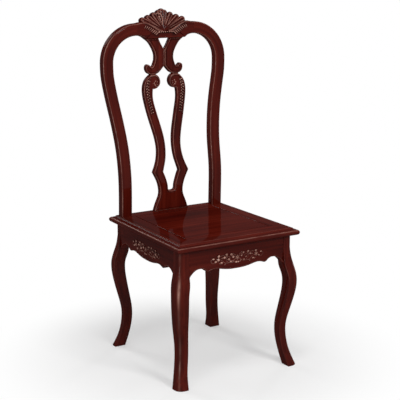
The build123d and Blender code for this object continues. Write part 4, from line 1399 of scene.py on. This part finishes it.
# Floor, lights and white surroundings
studio = {
    "floor": 60.0,  # half its side
    "clearRadius": 0.3,  # the floor turns fully white between these two
    "fadeRadius": 0.72,
    "shadowLift": 0.38,  # how white it is by itself under the chair
    "floorSeen": 0.97,
    "floorLit": 0.5,
    "soft": {  # place, width, height and power
        "front": (0.5, -3.0, 2.4, 0.9, 0.9, 50),
        "top": (-0.4, -0.9, 3.0, 0.9, 0.9, 22),
        "rear": (-0.7, 3.0, 2.2, 0.9, 0.9, 22),
    },
    "glints": {
        "leftStrip": (-2.4, -1.45, 0.5, 0.3, 0.9, 9),
        "rightStrip": (2.2, 1.5, 0.6, 0.3, 1.0, 12),
    },
    "zenith": 0.32,
    "horizon": 0.21,
}


def shownRays(tree):  # 1 for the rays that see the white background: camera, reflections and glass
    path = addNode(tree, "ShaderNodeLightPath").outputs
    shown = mathNode(tree, "MAXIMUM", path["Is Camera Ray"], path["Is Glossy Ray"])
    return mathNode(tree, "MAXIMUM", shown, path["Is Transmission Ray"])


def makeFloor():
    half = studio["floor"]
    mesh = bpy.data.meshes.new("floor")
    mesh.from_pydata([(-half, -half, 0), (half, -half, 0), (half, half, 0), (-half, half, 0)], [], [(0, 1, 2, 3)])
    material, tree, shader = newMaterial("pale floor")
    shown = shownRays(tree)
    shade = addNode(tree, "ShaderNodeMix", {"Factor": shown, "A": studio["floorLit"], "B": studio["floorSeen"]})
    feed(tree, shader, {"Base Color": shade.outputs["Result"], "Roughness": 1, "Specular IOR Level": 0})
    place = addNode(tree, "ShaderNodeTexCoord").outputs["Object"]
    away = addNode(tree, "ShaderNodeVectorMath", {0: place}, operation="LENGTH").outputs["Value"]
    fade = addNode(tree, "ShaderNodeMapRange", {
        "Value": away,
        "From Min": studio["clearRadius"],
        "From Max": studio["fadeRadius"],
        "To Min": studio["shadowLift"],
    }, interpolation_type="SMOOTHSTEP")
    seen = mathNode(tree, "MULTIPLY", fade.outputs["Result"], shown)
    white = addNode(tree, "ShaderNodeEmission").outputs[0]
    mix = addNode(tree, "ShaderNodeMixShader", {0: seen, 1: shader.outputs[0], 2: white})
    feed(tree, tree.nodes["Material Output"], {"Surface": mix.outputs[0]})
    mesh.materials.append(material)
    floor = bpy.data.objects.new("floor", mesh)
    bpy.context.scene.collection.objects.link(floor)


def makeLamp(name, x, y, z, width, height, power):
    data = bpy.data.lights.new(name, "AREA")
    data.shape = "RECTANGLE"
    data.size = width
    data.size_y = height
    data.energy = power
    lamp = bpy.data.objects.new(name, data)
    lamp.location = (x, y, z)
    lamp.rotation_euler = (Vector((0, 0, 0.5)) - lamp.location).to_track_quat("-Z", "Y").to_euler()
    bpy.context.scene.collection.objects.link(lamp)


def makeWorld():
    world = bpy.data.worlds.new("white room")
    world.use_nodes = True
    tree = world.node_tree
    direction = addNode(tree, "ShaderNodeTexCoord").outputs["Generated"]
    height = addNode(tree, "ShaderNodeSeparateXYZ", {0: direction}).outputs["Z"]
    span = {"Value": height, "To Min": studio["horizon"], "To Max": studio["zenith"]}
    lighting = addNode(tree, "ShaderNodeMapRange", span).outputs["Result"]
    level = addNode(tree, "ShaderNodeMix", {"Factor": shownRays(tree), "A": lighting, "B": 1})
    feed(tree, tree.nodes["Background"], {"Color": (1, 1, 1, 1), "Strength": level.outputs["Result"]})
    bpy.context.scene.world = world


makeFloor()
for kind in ("soft", "glints"):
    for lamp, values in studio[kind].items():
        makeLamp(lamp, *values)
makeWorld()
bpy.context.scene.view_settings.view_transform = "Standard"
print("studio ready")
